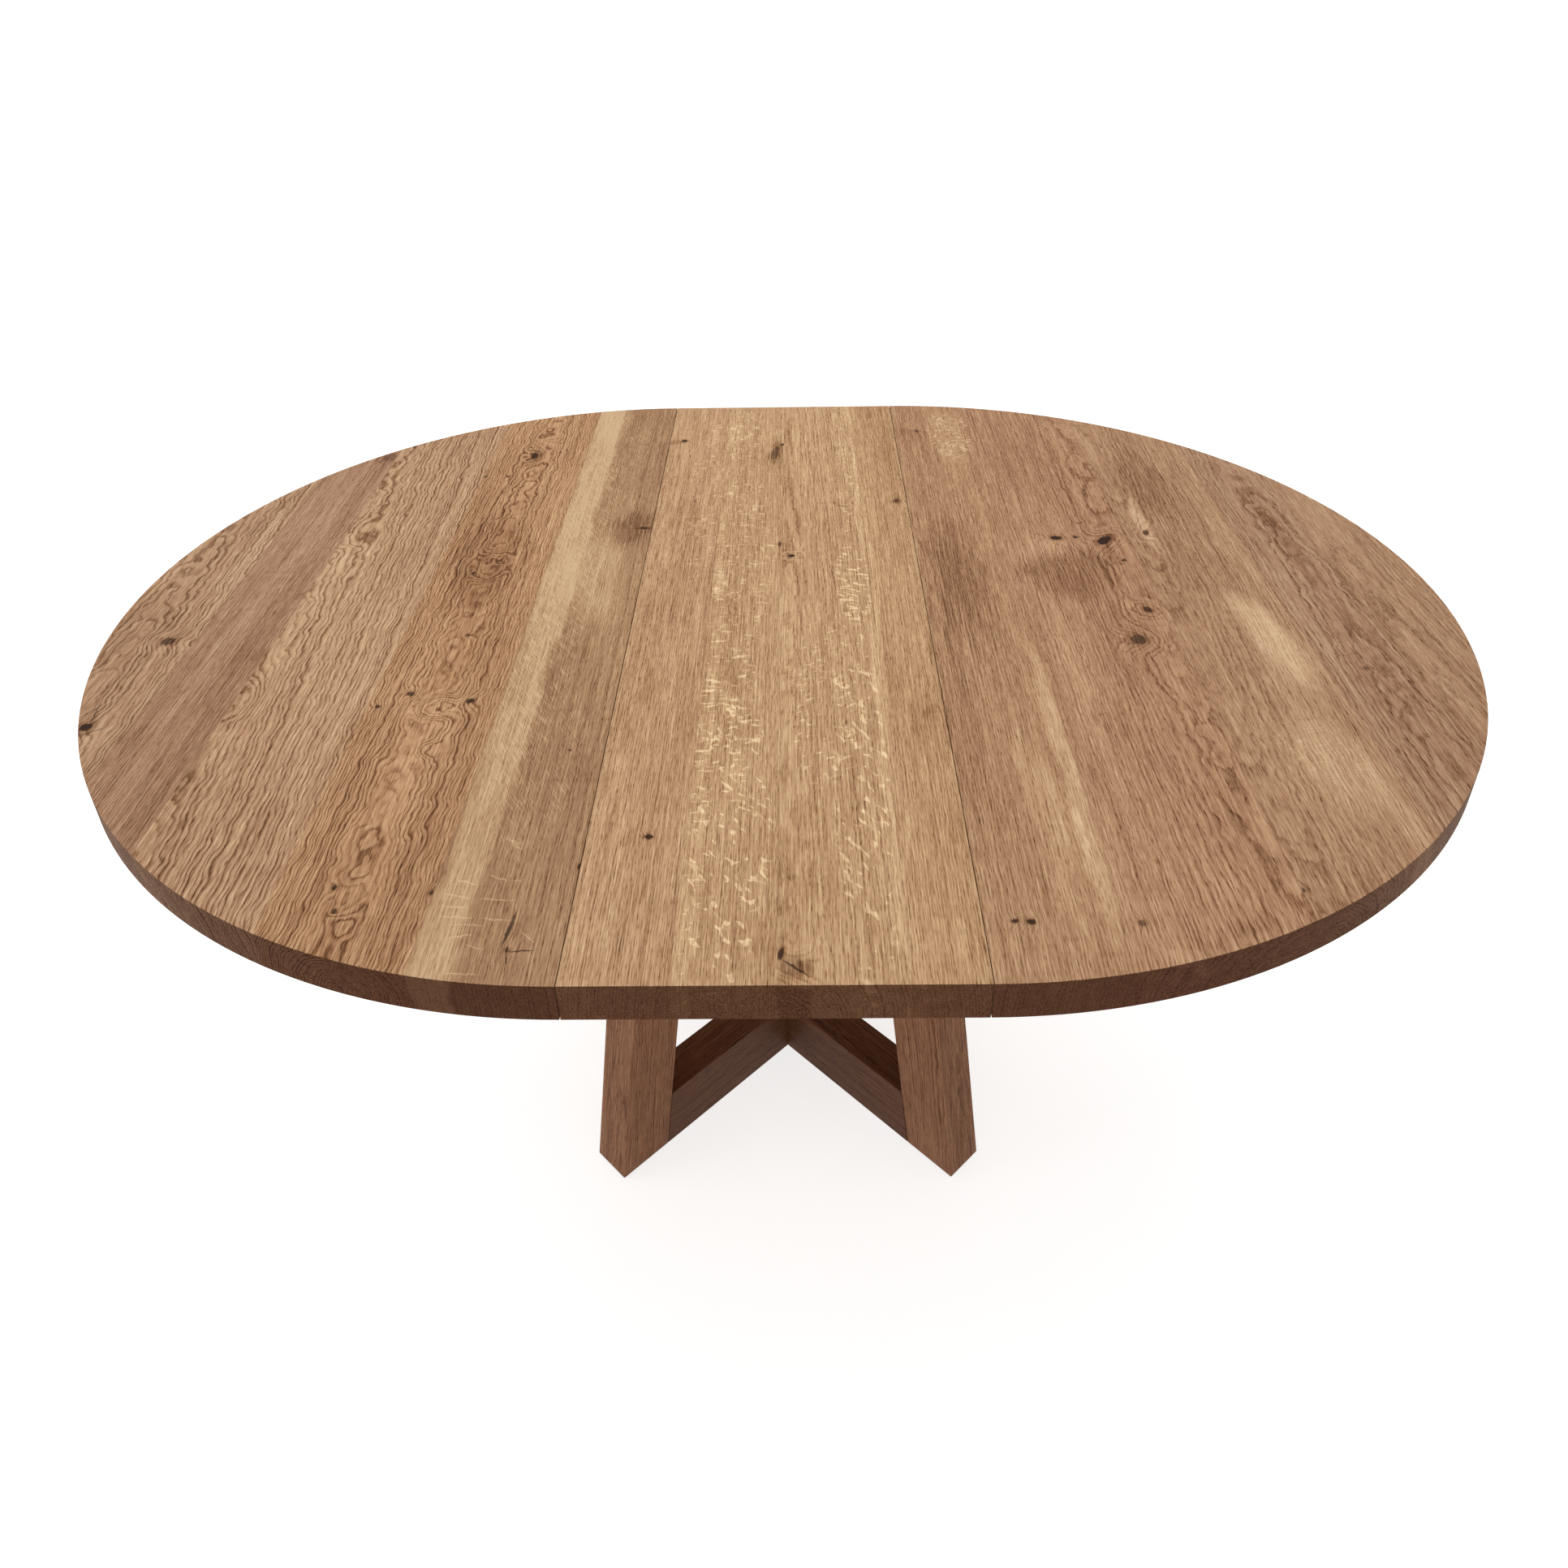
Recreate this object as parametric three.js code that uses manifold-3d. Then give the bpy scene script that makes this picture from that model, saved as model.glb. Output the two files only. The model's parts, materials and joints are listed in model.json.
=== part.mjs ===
// Round oak pedestal table, drawn with its loose leaf fitted.
// Frame: millimetres, +Z up, origin on the floor under the centre of the top.
// X runs across the leaf (the halves draw apart along X), Y runs along the boards.

import * as THREE from 'three';
import { mergeVertices } from 'three/addons/utils/BufferGeometryUtils.js';
import Module from 'manifold-3d';

const wasm = await Module();
wasm.setup();

// ---------------------------------------------------------------- driving dimensions

const DIAMETER = 1200;          // each end of the top is half of a circle of this size
const LEAF_WIDTH = 340;
const TOP_HEIGHT = 750;
const TOP_THICKNESS = 38;
const SEAM_GAP = 0.6;           // open joint between a half and the leaf
const GLUE_LINE = 0.1;          // between two boards of one panel
const FIT = 0.3;                // between two pieces that touch
const ARC_STEP = 1.5;           // degrees of rim to one facet

const FOOT_REACH = 335;         // centre to the outer foot edge, along a frame
const LEAN = 0.163;             // how far a leg moves inwards for each millimetre it rises
const LEG_DEPTH = 76;
const LEG_WIDTH = 55;
const BOTTOM_RAIL_HEIGHT = 90;
const TOP_RAIL_HEIGHT = 60;
const PAD_THICKNESS = 3;
const TENON_LENGTH = 45;
const TENON_WIDTH = 18;
const TENON_SHOULDER = 15;      // rail height left above and below a tenon

const RUNNER_Y = 130;           // centre of a fixed runner from the middle of the table
const RUNNER_WIDTH = 28;
const RUNNER_LENGTH = 560;
const SLIDE_WIDTH = 23.5;
const SLIDE_LENGTH = 640;
const SLIDE_INNER_END = 30;     // distance of a slide's inner end from the centre
const RUNNING_GAP = 0.5;
const TONGUE_HEIGHT = 12;
const TONGUE_DEPTH = 9;
const RUNNER_HEIGHT = 44.7;
const PLATE_SIZE = 360;
const PLATE_THICKNESS = 6;
const PLATE_CORNER = 24;

const MODULE = 2;               // of the equaliser's rack and pinion
const PINION_TEETH = 20;
const PRESSURE_ANGLE = THREE.MathUtils.degToRad(20);
const BACKLASH = 0.4;
const GEAR_THICKNESS = 12;
const AXLE_RADIUS = 5;
const RACK_OUTER_END = 420;
const RACK_INNER_END = 110;
const RACK_BACK = 34;           // distance of a rack's plain back from the centre line
const RACK_LUG = 40;

const HALF_BATTEN = { y: 345, width: 40, height: 30, from: 205, to: 560 };
const LEAF_BATTEN = { y: 187.5, width: 35, height: 28, reach: 150 };
const REST_PLATE = { y: 500, width: 30, length: 75, overhang: 30, thickness: 3 };
const LATCH_Y = 250;
const LATCH_FROM_SEAM = 22;     // pivot and keeper stand this far each side of the seam
const POST = { flange: 15, flangeHeight: 3, shank: 3, head: 6, headHeight: 2.5, drop: 12.5 };
const LEVER = { half: 9, thickness: 3, tip: 56, tab: 70, tabHalf: 5, bore: 3.4 };

// ---------------------------------------------------------------- dimensions that follow

const RADIUS = DIAMETER / 2;
const HALF_LEAF = LEAF_WIDTH / 2;
const UNDERSIDE = TOP_HEIGHT - TOP_THICKNESS;
const HUNG = UNDERSIDE - FIT;                       // top face of whatever hangs under the top
const RUNNER_BASE = UNDERSIDE - RUNNER_HEIGHT;
const PLATE_BASE = RUNNER_BASE - FIT - PLATE_THICKNESS;
const FRAME_TOP = PLATE_BASE - FIT;
const PITCH_RADIUS = MODULE * PINION_TEETH / 2;
const PITCH = Math.PI * MODULE;
const GEAR_BASE = RUNNER_BASE + 9;

// Joints between the boards of each panel, across the table.
const LEFT_JOINTS = [-661, -570, -427, -290];
const LEAF_JOINTS = [-83, 2, 107];
const RIGHT_JOINTS = [285, 441, 584, 673];

// ---------------------------------------------------------------- finishes

const finish = (color, roughness, metalness = 0) =>
  new THREE.MeshStandardMaterial({ color, roughness, metalness });

const OAK_TOP = finish(0xb98e60, 0.5);
const OAK_BASE = finish(0x6f4c37, 0.55);
const OAK_UNDER = finish(0xa98660, 0.65);
const BEECH = finish(0xc9a67c, 0.55);
const NYLON = finish(0xd8d6cc, 0.45);
const STEEL = finish(0x9a9b9d, 0.35, 0.9);
const BLACK_STEEL = finish(0x202123, 0.6, 0.4);
const FELT = finish(0x2b2724, 0.95);

// ---------------------------------------------------------------- helpers

const group = new THREE.Group();

function add(name, geometry, material, parent = group) {
  const mesh = new THREE.Mesh(geometry, material);
  mesh.name = name;
  parent.add(mesh);
  return mesh;
}

function shapeOf(points) {
  const ring = points.map(([x, y]) => new THREE.Vector2(x, y));
  return new THREE.Shape(THREE.ShapeUtils.isClockWise(ring) ? ring.reverse() : ring);
}

// A prism standing on the XY plane between two heights.
function uprightPrism(shape, low, high) {
  const geometry = new THREE.ExtrudeGeometry(shape, { depth: high - low, bevelEnabled: false });
  return geometry.translate(0, 0, low);
}

// A prism whose outline is in X and Z, centred on Y.
function crossPrism(points, width) {
  const geometry = new THREE.ExtrudeGeometry(shapeOf(points), { depth: width, bevelEnabled: false });
  return geometry.rotateX(Math.PI / 2).translate(0, width / 2, 0);
}

// A prism whose outline is in Y and Z, between two places along X.
function lengthPrism(points, from, to) {
  const geometry = new THREE.ExtrudeGeometry(shapeOf(points), { depth: to - from, bevelEnabled: false });
  return geometry.rotateX(Math.PI / 2).rotateZ(Math.PI / 2).translate(from, 0, 0);
}

function box([x0, x1], [y0, y1], [z0, z1]) {
  const geometry = new THREE.BoxGeometry(x1 - x0, y1 - y0, z1 - z0);
  return geometry.translate((x0 + x1) / 2, (y0 + y1) / 2, (z0 + z1) / 2);
}

function solidOf(geometry) {
  const bare = geometry.clone();
  bare.deleteAttribute('normal');
  bare.deleteAttribute('uv');
  const merged = mergeVertices(bare, 1e-4);
  return new wasm.Manifold(new wasm.Mesh({
    numProp: 3,
    vertProperties: new Float32Array(merged.attributes.position.array),
    triVerts: new Uint32Array(merged.index.array),
  }));
}

function geometryOf(solid) {
  const mesh = solid.getMesh();
  const geometry = new THREE.BufferGeometry();
  geometry.setAttribute('position', new THREE.BufferAttribute(mesh.vertProperties, 3));
  geometry.setIndex(new THREE.BufferAttribute(mesh.triVerts, 1));
  return geometry;
}

// ---------------------------------------------------------------- top

// One board of a half-round panel: cut from a circle about (centre, 0) between two lines x = low, high.
function rimBoard(centre, low, high) {
  const angleAt = (x) => Math.acos(THREE.MathUtils.clamp((x - centre) / RADIUS, -1, 1));
  const start = angleAt(high);
  const end = angleAt(low);
  const steps = Math.max(2, Math.ceil(THREE.MathUtils.radToDeg(end - start) / ARC_STEP));
  const arc = [];
  for (let i = 0; i <= steps; i += 1) {
    const angle = start + (end - start) * i / steps;
    arc.push([centre + RADIUS * Math.cos(angle), RADIUS * Math.sin(angle)]);
  }
  const far = arc.map(([x, y]) => [x, -y]).reverse();
  const outline = [...arc, ...far].filter(([x, y], i, all) => {
    const [px, py] = all[(i + all.length - 1) % all.length];
    return Math.hypot(x - px, y - py) > 1e-3;
  });
  return uprightPrism(shapeOf(outline), UNDERSIDE, TOP_HEIGHT);
}

// Widths between joints, each board held off its neighbours by half of a glue line.
function spans(from, joints, to) {
  const lines = [from, ...joints, to];
  return lines.slice(1).map((line, i) => [
    lines[i] + (i > 0 ? GLUE_LINE / 2 : 0),
    line - (i < joints.length ? GLUE_LINE / 2 : 0),
  ]);
}

function buildTop() {
  const seam = HALF_LEAF + SEAM_GAP / 2;
  spans(-HALF_LEAF - RADIUS, LEFT_JOINTS, -seam).forEach(([low, high], i) =>
    add(`left_board_${i + 1}`, rimBoard(-HALF_LEAF, low, high), OAK_TOP));
  spans(seam, RIGHT_JOINTS, HALF_LEAF + RADIUS).forEach(([low, high], i) =>
    add(`right_board_${i + 1}`, rimBoard(HALF_LEAF, low, high), OAK_TOP));
  const edge = HALF_LEAF - SEAM_GAP / 2;
  spans(-edge, LEAF_JOINTS, edge).forEach((across, i) =>
    add(`leaf_board_${i + 1}`, box(across, [-RADIUS, RADIUS], [UNDERSIDE, TOP_HEIGHT]), OAK_TOP));
}

// Battens screwed across the boards to keep each panel flat, with bevelled ends.
function batten({ y, width, height }, from, to) {
  const bevel = height * 0.6;
  const low = HUNG - height;
  const outline = [[from, HUNG], [to, HUNG], [to, HUNG - height + bevel], [to - bevel, low],
    [from + bevel, low], [from, HUNG - height + bevel]];
  return crossPrism(outline, width).translate(0, y, 0);
}

function buildBattens() {
  for (const [side, sign] of [['front', -1], ['back', 1]]) {
    const half = { ...HALF_BATTEN, y: sign * HALF_BATTEN.y };
    add(`left_batten_${side}`, batten(half, -HALF_BATTEN.to, -HALF_BATTEN.from), OAK_UNDER);
    add(`right_batten_${side}`, batten(half, HALF_BATTEN.from, HALF_BATTEN.to), OAK_UNDER);
    const leaf = { ...LEAF_BATTEN, y: sign * LEAF_BATTEN.y };
    add(`leaf_batten_${side}`, batten(leaf, -LEAF_BATTEN.reach, LEAF_BATTEN.reach), OAK_UNDER);
    // Flat plates under each half that reach below the leaf and hold it level.
    const across = [sign * REST_PLATE.y - REST_PLATE.width / 2, sign * REST_PLATE.y + REST_PLATE.width / 2];
    const inner = HALF_LEAF - REST_PLATE.overhang;
    const outer = inner + REST_PLATE.length;
    const depth = [HUNG - REST_PLATE.thickness, HUNG];
    add(`left_rest_plate_${side}`, box([-outer, -inner], across, depth), STEEL);
    add(`right_rest_plate_${side}`, box([inner, outer], across, depth), STEEL);
  }
}

// ---------------------------------------------------------------- crossed base

const outerFace = (z) => FOOT_REACH - LEAN * z;
const innerFace = (z) => outerFace(z) - LEG_DEPTH;

// Outline of a tenon, or of the mortise around it when grown by a clearance.
function tenonOutline(low, high, clearance) {
  const bottom = low + TENON_SHOULDER - clearance;
  const top = high - TENON_SHOULDER + clearance;
  const tip = innerFace((low + high) / 2) + TENON_LENGTH + clearance;
  return [[innerFace(bottom) - 10, bottom], [tip, bottom], [tip, top], [innerFace(top) - 10, top]];
}

const mirrored = (points, sign) => points.map(([x, z]) => [sign * x, z]);

const BOTTOM_RAIL = [PAD_THICKNESS, PAD_THICKNESS + BOTTOM_RAIL_HEIGHT];
const TOP_RAIL = [FRAME_TOP - TOP_RAIL_HEIGHT, FRAME_TOP];

function leg(sign) {
  const body = [[innerFace(PAD_THICKNESS), PAD_THICKNESS], [outerFace(PAD_THICKNESS), PAD_THICKNESS],
    [outerFace(FRAME_TOP), FRAME_TOP], [innerFace(FRAME_TOP), FRAME_TOP]];
  let solid = solidOf(crossPrism(mirrored(body, sign), LEG_WIDTH));
  for (const [low, high] of [BOTTOM_RAIL, TOP_RAIL]) {
    const mortise = crossPrism(mirrored(tenonOutline(low, high, FIT), sign), TENON_WIDTH + 2 * FIT);
    solid = solid.subtract(solidOf(mortise));
  }
  return geometryOf(solid);
}

// A rail between two legs, with a tenon at each end and half its height cut away where it is crossed.
function rail([low, high], lapFromTop) {
  const lap = LEG_WIDTH / 2 + FIT;
  const middle = (low + high) / 2;
  const end = (z) => innerFace(z) - FIT;
  const outline = lapFromTop
    ? [[-end(low), low], [end(low), low], [end(high), high], [lap, high],
      [lap, middle - FIT / 2], [-lap, middle - FIT / 2], [-lap, high], [-end(high), high]]
    : [[-end(low), low], [-lap, low], [-lap, middle + FIT / 2], [lap, middle + FIT / 2],
      [lap, low], [end(low), low], [end(high), high], [-end(high), high]];
  let solid = solidOf(crossPrism(outline, LEG_WIDTH));
  for (const sign of [-1, 1]) {
    solid = solid.add(solidOf(crossPrism(mirrored(tenonOutline(low, high, 0), sign), TENON_WIDTH)));
  }
  return geometryOf(solid);
}

function footPad(sign) {
  const margin = 6;
  const ends = [sign * (innerFace(0) + margin), sign * (outerFace(0) - margin)].sort((a, b) => a - b);
  const half = LEG_WIDTH / 2 - margin;
  return box(ends, [-half, half], [0, PAD_THICKNESS - FIT]);
}

function buildBase() {
  const frames = [
    { turn: Math.PI / 4, name: 'a', near: 'front_left', far: 'back_right', lapFromTop: true },
    { turn: -Math.PI / 4, name: 'b', near: 'back_left', far: 'front_right', lapFromTop: false },
  ];
  for (const { turn, name, near, far, lapFromTop } of frames) {
    const frame = new THREE.Group();
    frame.rotation.z = turn;
    group.add(frame);
    for (const [corner, sign] of [[near, -1], [far, 1]]) {
      add(`leg_${corner}`, leg(sign), OAK_BASE, frame);
      add(`foot_pad_${corner}`, footPad(sign), FELT, frame);
    }
    add(`bottom_rail_${name}`, rail(BOTTOM_RAIL, lapFromTop), OAK_BASE, frame);
    add(`top_rail_${name}`, rail(TOP_RAIL, lapFromTop), OAK_BASE, frame);
  }
  const half = PLATE_SIZE / 2;
  const cut = half - PLATE_CORNER;
  const plate = [[half, cut], [cut, half], [-cut, half], [-half, cut],
    [-half, -cut], [-cut, -half], [cut, -half], [half, -cut]];
  add('mounting_plate', uprightPrism(shapeOf(plate), PLATE_BASE, PLATE_BASE + PLATE_THICKNESS), BLACK_STEEL);
}

// ---------------------------------------------------------------- wooden runners

// Sections are drawn for the back runner and mirrored in Y for the front one.
function buildRunners() {
  const grooveLow = RUNNER_BASE + 17;
  const grooveHigh = grooveLow + TONGUE_HEIGHT + 2 * RUNNING_GAP;
  const tongueLow = grooveLow + RUNNING_GAP;
  const tongueHigh = grooveHigh - RUNNING_GAP;
  const inner = RUNNER_Y - RUNNER_WIDTH / 2;
  const outer = RUNNER_Y + RUNNER_WIDTH / 2;
  const fixed = [[inner, RUNNER_BASE], [outer, RUNNER_BASE], [outer, grooveLow],
    [outer - TONGUE_DEPTH, grooveLow], [outer - TONGUE_DEPTH, grooveHigh], [outer, grooveHigh],
    [outer, HUNG], [inner, HUNG], [inner, grooveHigh], [inner + TONGUE_DEPTH, grooveHigh],
    [inner + TONGUE_DEPTH, grooveLow], [inner, grooveLow]];
  const slideLow = RUNNER_BASE + 1;
  const section = (face, away) => [[face, slideLow], [face, tongueLow],
    [face - away * (TONGUE_DEPTH), tongueLow], [face - away * (TONGUE_DEPTH), tongueHigh],
    [face, tongueHigh], [face, HUNG], [face + away * SLIDE_WIDTH, HUNG], [face + away * SLIDE_WIDTH, slideLow]];
  const leftSlide = section(inner - RUNNING_GAP, -1);
  const rightSlide = section(outer + RUNNING_GAP, 1);
  for (const [side, sign] of [['front', -1], ['back', 1]]) {
    const flip = (points) => points.map(([y, z]) => [sign * y, z]);
    add(`fixed_runner_${side}`, lengthPrism(flip(fixed), -RUNNER_LENGTH / 2, RUNNER_LENGTH / 2), BEECH);
    add(`left_slide_${side}`,
      lengthPrism(flip(leftSlide), -SLIDE_INNER_END - SLIDE_LENGTH, -SLIDE_INNER_END), BEECH);
    add(`right_slide_${side}`,
      lengthPrism(flip(rightSlide), SLIDE_INNER_END, SLIDE_INNER_END + SLIDE_LENGTH), BEECH);
  }
}

// ---------------------------------------------------------------- equaliser

// Involute pinion with a tooth pointing along +Y.
function pinionOutline() {
  const base = PITCH_RADIUS * Math.cos(PRESSURE_ANGLE);
  const tip = PITCH_RADIUS + MODULE;
  const root = PITCH_RADIUS - 1.25 * MODULE;
  const involute = (radius) => Math.tan(Math.acos(base / radius)) - Math.acos(base / radius);
  const halfAtPitch = Math.PI / (2 * PINION_TEETH) - BACKLASH / (4 * PITCH_RADIUS);
  const halfAngle = (radius) => halfAtPitch + involute(PITCH_RADIUS) - involute(radius);
  const start = Math.max(base, root) + 0.01;
  const flank = [0, 0.25, 0.5, 0.75, 1].map((t) => start + (tip - start) * t);
  const points = [];
  for (let tooth = 0; tooth < PINION_TEETH; tooth += 1) {
    const middle = Math.PI / 2 + 2 * Math.PI * tooth / PINION_TEETH;
    const at = (radius, angle) => points.push([radius * Math.cos(angle), radius * Math.sin(angle)]);
    at(root, middle - halfAngle(start) - 0.01);
    flank.forEach((radius) => at(radius, middle - halfAngle(radius)));
    [...flank].reverse().forEach((radius) => at(radius, middle + halfAngle(radius)));
    at(root, middle + halfAngle(start) + 0.01);
  }
  return points;
}

// Toothed bar for the left half: teeth face the pinion, a lug at the far end reaches the top.
function rack() {
  const rootLine = PITCH_RADIUS + 1.25 * MODULE;
  const tipLine = PITCH_RADIUS - MODULE;
  const slope = Math.tan(PRESSURE_ANGLE);
  const halfTooth = PITCH / 4 - BACKLASH / 4;
  const points = [[-RACK_OUTER_END, RACK_BACK], [-RACK_OUTER_END, rootLine]];
  for (let i = -30; i <= 15; i += 1) {
    const middle = (i + 0.5) * PITCH;
    const wide = halfTooth + slope * (rootLine - PITCH_RADIUS);
    const narrow = halfTooth - slope * (PITCH_RADIUS - tipLine);
    points.push([middle - wide, rootLine], [middle - narrow, tipLine],
      [middle + narrow, tipLine], [middle + wide, rootLine]);
  }
  points.push([RACK_INNER_END, rootLine], [RACK_INNER_END, RACK_BACK]);
  const bar = solidOf(uprightPrism(shapeOf(points), GEAR_BASE, GEAR_BASE + GEAR_THICKNESS));
  const lug = box([-RACK_OUTER_END, -RACK_OUTER_END + RACK_LUG], [rootLine, RACK_BACK],
    [GEAR_BASE + GEAR_THICKNESS / 2, HUNG]);
  return geometryOf(bar.add(solidOf(lug)));
}

function buildEqualiser() {
  const wheel = shapeOf(pinionOutline());
  wheel.holes.push(new THREE.Path().absarc(0, 0, AXLE_RADIUS + FIT, 0, 2 * Math.PI, true));
  const geometry = new THREE.ExtrudeGeometry(wheel,
    { depth: GEAR_THICKNESS, bevelEnabled: false, curveSegments: 24 });
  add('equaliser_pinion', geometry.translate(0, 0, GEAR_BASE), NYLON);

  const flange = 9;
  const low = PLATE_BASE + PLATE_THICKNESS + FIT;
  const washer = GEAR_BASE - FIT;
  const head = GEAR_BASE + GEAR_THICKNESS + FIT;
  const profile = [[0, low], [flange, low], [flange, washer], [AXLE_RADIUS, washer], [AXLE_RADIUS, head],
    [flange, head], [flange, head + 4], [0, head + 4]].map(([r, z]) => new THREE.Vector2(r, z));
  add('pinion_axle', new THREE.LatheGeometry(profile, 24).rotateX(Math.PI / 2), STEEL);

  add('left_rack', rack(), NYLON);
  add('right_rack', rack().scale(-1, -1, 1), NYLON);
}

// ---------------------------------------------------------------- seam latches

// Round flange with a headed post hanging from it.
function post() {
  const flangeBase = HUNG - POST.flangeHeight;
  const headTop = HUNG - POST.drop + POST.headHeight / 2;
  const headBase = headTop - POST.headHeight;
  const profile = [[0, headBase], [POST.head, headBase], [POST.head, headTop], [POST.shank, headTop],
    [POST.shank, flangeBase], [POST.flange, flangeBase], [POST.flange, HUNG], [0, HUNG]];
  const points = profile.map(([r, z]) => new THREE.Vector2(r, z));
  return new THREE.LatheGeometry(points, 24).rotateX(Math.PI / 2);
}

// Hooked lever lying along +Y from its pivot, its notch open towards +X.
function lever() {
  const { half, tip, tab, tabHalf, bore, thickness } = LEVER;
  const points = [[half, 39], [-1, 39], [-4.2, 41], [-5, 43.75], [-4.2, 46.5], [-1, 48.5], [half, 48.5],
    [half, tip - 4], [tabHalf, tip], [tabHalf, tab - 2], [tabHalf - 2, tab],
    [2 - tabHalf, tab], [-tabHalf, tab - 2], [-tabHalf, tip], [-half, tip - 4]];
  for (let i = 0; i <= 12; i += 1) {
    const angle = Math.PI + Math.PI * i / 12;
    points.push([half * Math.cos(angle), half * Math.sin(angle)]);
  }
  const shape = shapeOf(points);
  shape.holes.push(new THREE.Path().absarc(0, 0, bore, 0, 2 * Math.PI, true));
  const top = HUNG - POST.drop + POST.headHeight / 2 + RUNNING_GAP + thickness;
  return new THREE.ExtrudeGeometry(shape, { depth: thickness, bevelEnabled: false, curveSegments: 24 })
    .translate(0, 0, top - thickness);
}

// A lever mirrored in X or Y or both keeps its faces outward by turning its triangles round.
function mirroredLever(signX, signY) {
  const geometry = lever().scale(signX, signY, 1);
  if (signX * signY > 0) {
    return geometry;
  }
  const position = geometry.attributes.position;
  const turned = new THREE.BufferGeometry();
  turned.setAttribute('position', position);
  const order = [];
  for (let i = 0; i < position.count; i += 3) {
    order.push(i, i + 2, i + 1);
  }
  return turned.setIndex(order);
}

function buildLatches() {
  for (const [hand, signX] of [['left', -1], ['right', 1]]) {
    for (const [side, signY] of [['front', -1], ['back', 1]]) {
      const pivotX = signX * (HALF_LEAF + LATCH_FROM_SEAM);
      const keeperX = signX * (HALF_LEAF - LATCH_FROM_SEAM);
      const y = signY * LATCH_Y;
      add(`${hand}_latch_pivot_${side}`, post().translate(pivotX, y, 0), STEEL);
      add(`${hand}_latch_keeper_${side}`, post().translate(keeperX, y, 0), STEEL);
      add(`${hand}_latch_lever_${side}`, mirroredLever(-signX, signY).translate(pivotX, y, 0), STEEL);
    }
  }
}

buildTop();
buildBattens();
buildBase();
buildRunners();
buildEqualiser();
buildLatches();

export default group;
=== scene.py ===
"""A round oak extension table with its loose leaf fitted, on a crossed base of four leaning legs.

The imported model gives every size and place. This script eases the edges of each piece, lays a solid
oak grain through the boards, legs and rails, dresses the fittings underneath, adds the screws, and
stands the table in a plain pale studio.
"""

import json
import logging
import math
from dataclasses import dataclass, field
from enum import Enum
from typing import Iterable, Union

import bmesh
import bpy
from mathutils import Matrix, Vector


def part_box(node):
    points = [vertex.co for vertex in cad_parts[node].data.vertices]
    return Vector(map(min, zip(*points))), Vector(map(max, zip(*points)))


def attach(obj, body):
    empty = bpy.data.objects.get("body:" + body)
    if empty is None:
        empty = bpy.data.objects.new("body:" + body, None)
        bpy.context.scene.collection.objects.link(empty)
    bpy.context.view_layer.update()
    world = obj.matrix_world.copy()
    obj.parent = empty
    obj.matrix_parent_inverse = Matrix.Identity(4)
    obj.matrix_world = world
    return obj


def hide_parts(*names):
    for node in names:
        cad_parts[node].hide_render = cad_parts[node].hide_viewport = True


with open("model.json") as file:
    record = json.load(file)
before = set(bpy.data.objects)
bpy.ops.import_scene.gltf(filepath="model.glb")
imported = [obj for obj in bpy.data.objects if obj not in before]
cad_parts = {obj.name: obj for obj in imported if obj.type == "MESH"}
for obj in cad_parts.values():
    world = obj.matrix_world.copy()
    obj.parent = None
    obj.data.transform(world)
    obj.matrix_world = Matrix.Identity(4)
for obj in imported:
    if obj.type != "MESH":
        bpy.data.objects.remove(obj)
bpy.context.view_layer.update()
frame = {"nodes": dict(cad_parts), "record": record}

LOG = logging.getLogger("oak_table")

MM = 0.001
SCENE = bpy.context.scene
BODY_OF = {node: body for body, nodes in frame["record"]["behaviour"]["bodies"].items() for node in nodes}

Triple = tuple[float, float, float]
Operand = Union["Wire", float, tuple]


class Slot(Enum):
    """The material slots of the record."""

    OAK_TOP = "oak_top"
    OAK_BASE = "oak_base"
    OAK_BATTEN = "oak_batten"
    BEECH = "beech"
    NYLON = "nylon"
    STEEL = "steel"
    BLACK_STEEL = "black_steel"
    FELT = "felt"


class FleckKind(Enum):
    """How the silver rays of quarter-cut oak show."""

    STROKES = "strokes"
    CURLS = "curls"


def light_of(value: float) -> float:
    """Turns one screen value into linear light.

    Args:
        value: Screen value from 0 to 255.

    Returns:
        Linear light from 0 to 1.
    """
    share = value / 255
    return share / 12.92 if share <= 0.04045 else ((share + 0.055) / 1.055) ** 2.4


def shade(red: float, green: float, blue: float) -> tuple[float, float, float, float]:
    """Gives a colour as a paint card states it.

    Args:
        red: Red, 0 to 255.
        green: Green, 0 to 255.
        blue: Blue, 0 to 255.

    Returns:
        The colour in linear light, with full cover.
    """
    return (light_of(red), light_of(green), light_of(blue), 1.0)


# ------------------------------------------------------------------------------------ node graphs


# Numbers of the outputs on Blender's coordinate, vector and mix nodes.
FACING = 1
ROOM = 3
LENGTH_OUTPUT = 1
COLOUR_OUTPUT = 2
TO_MM = (1000.0, 1000.0, 1000.0)


@dataclass(frozen=True)
class Wire:
    """One output of a node, which can be reckoned with like a number."""

    graph: "Graph"
    socket: bpy.types.NodeSocket

    def __add__(self, other: Operand) -> "Wire":
        """Adds a number or another wire."""
        return self.graph.math("ADD", self, other)

    def __sub__(self, other: Operand) -> "Wire":
        """Takes away a number or another wire."""
        return self.graph.math("SUBTRACT", self, other)

    def __mul__(self, other: Operand) -> "Wire":
        """Multiplies by a number or another wire."""
        return self.graph.math("MULTIPLY", self, other)

    def times_plus(self, factor: Operand, extra: Operand) -> "Wire":
        """Multiplies by one value and adds another, in one node."""
        return self.graph.math("MULTIPLY_ADD", self, factor, extra)


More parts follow.
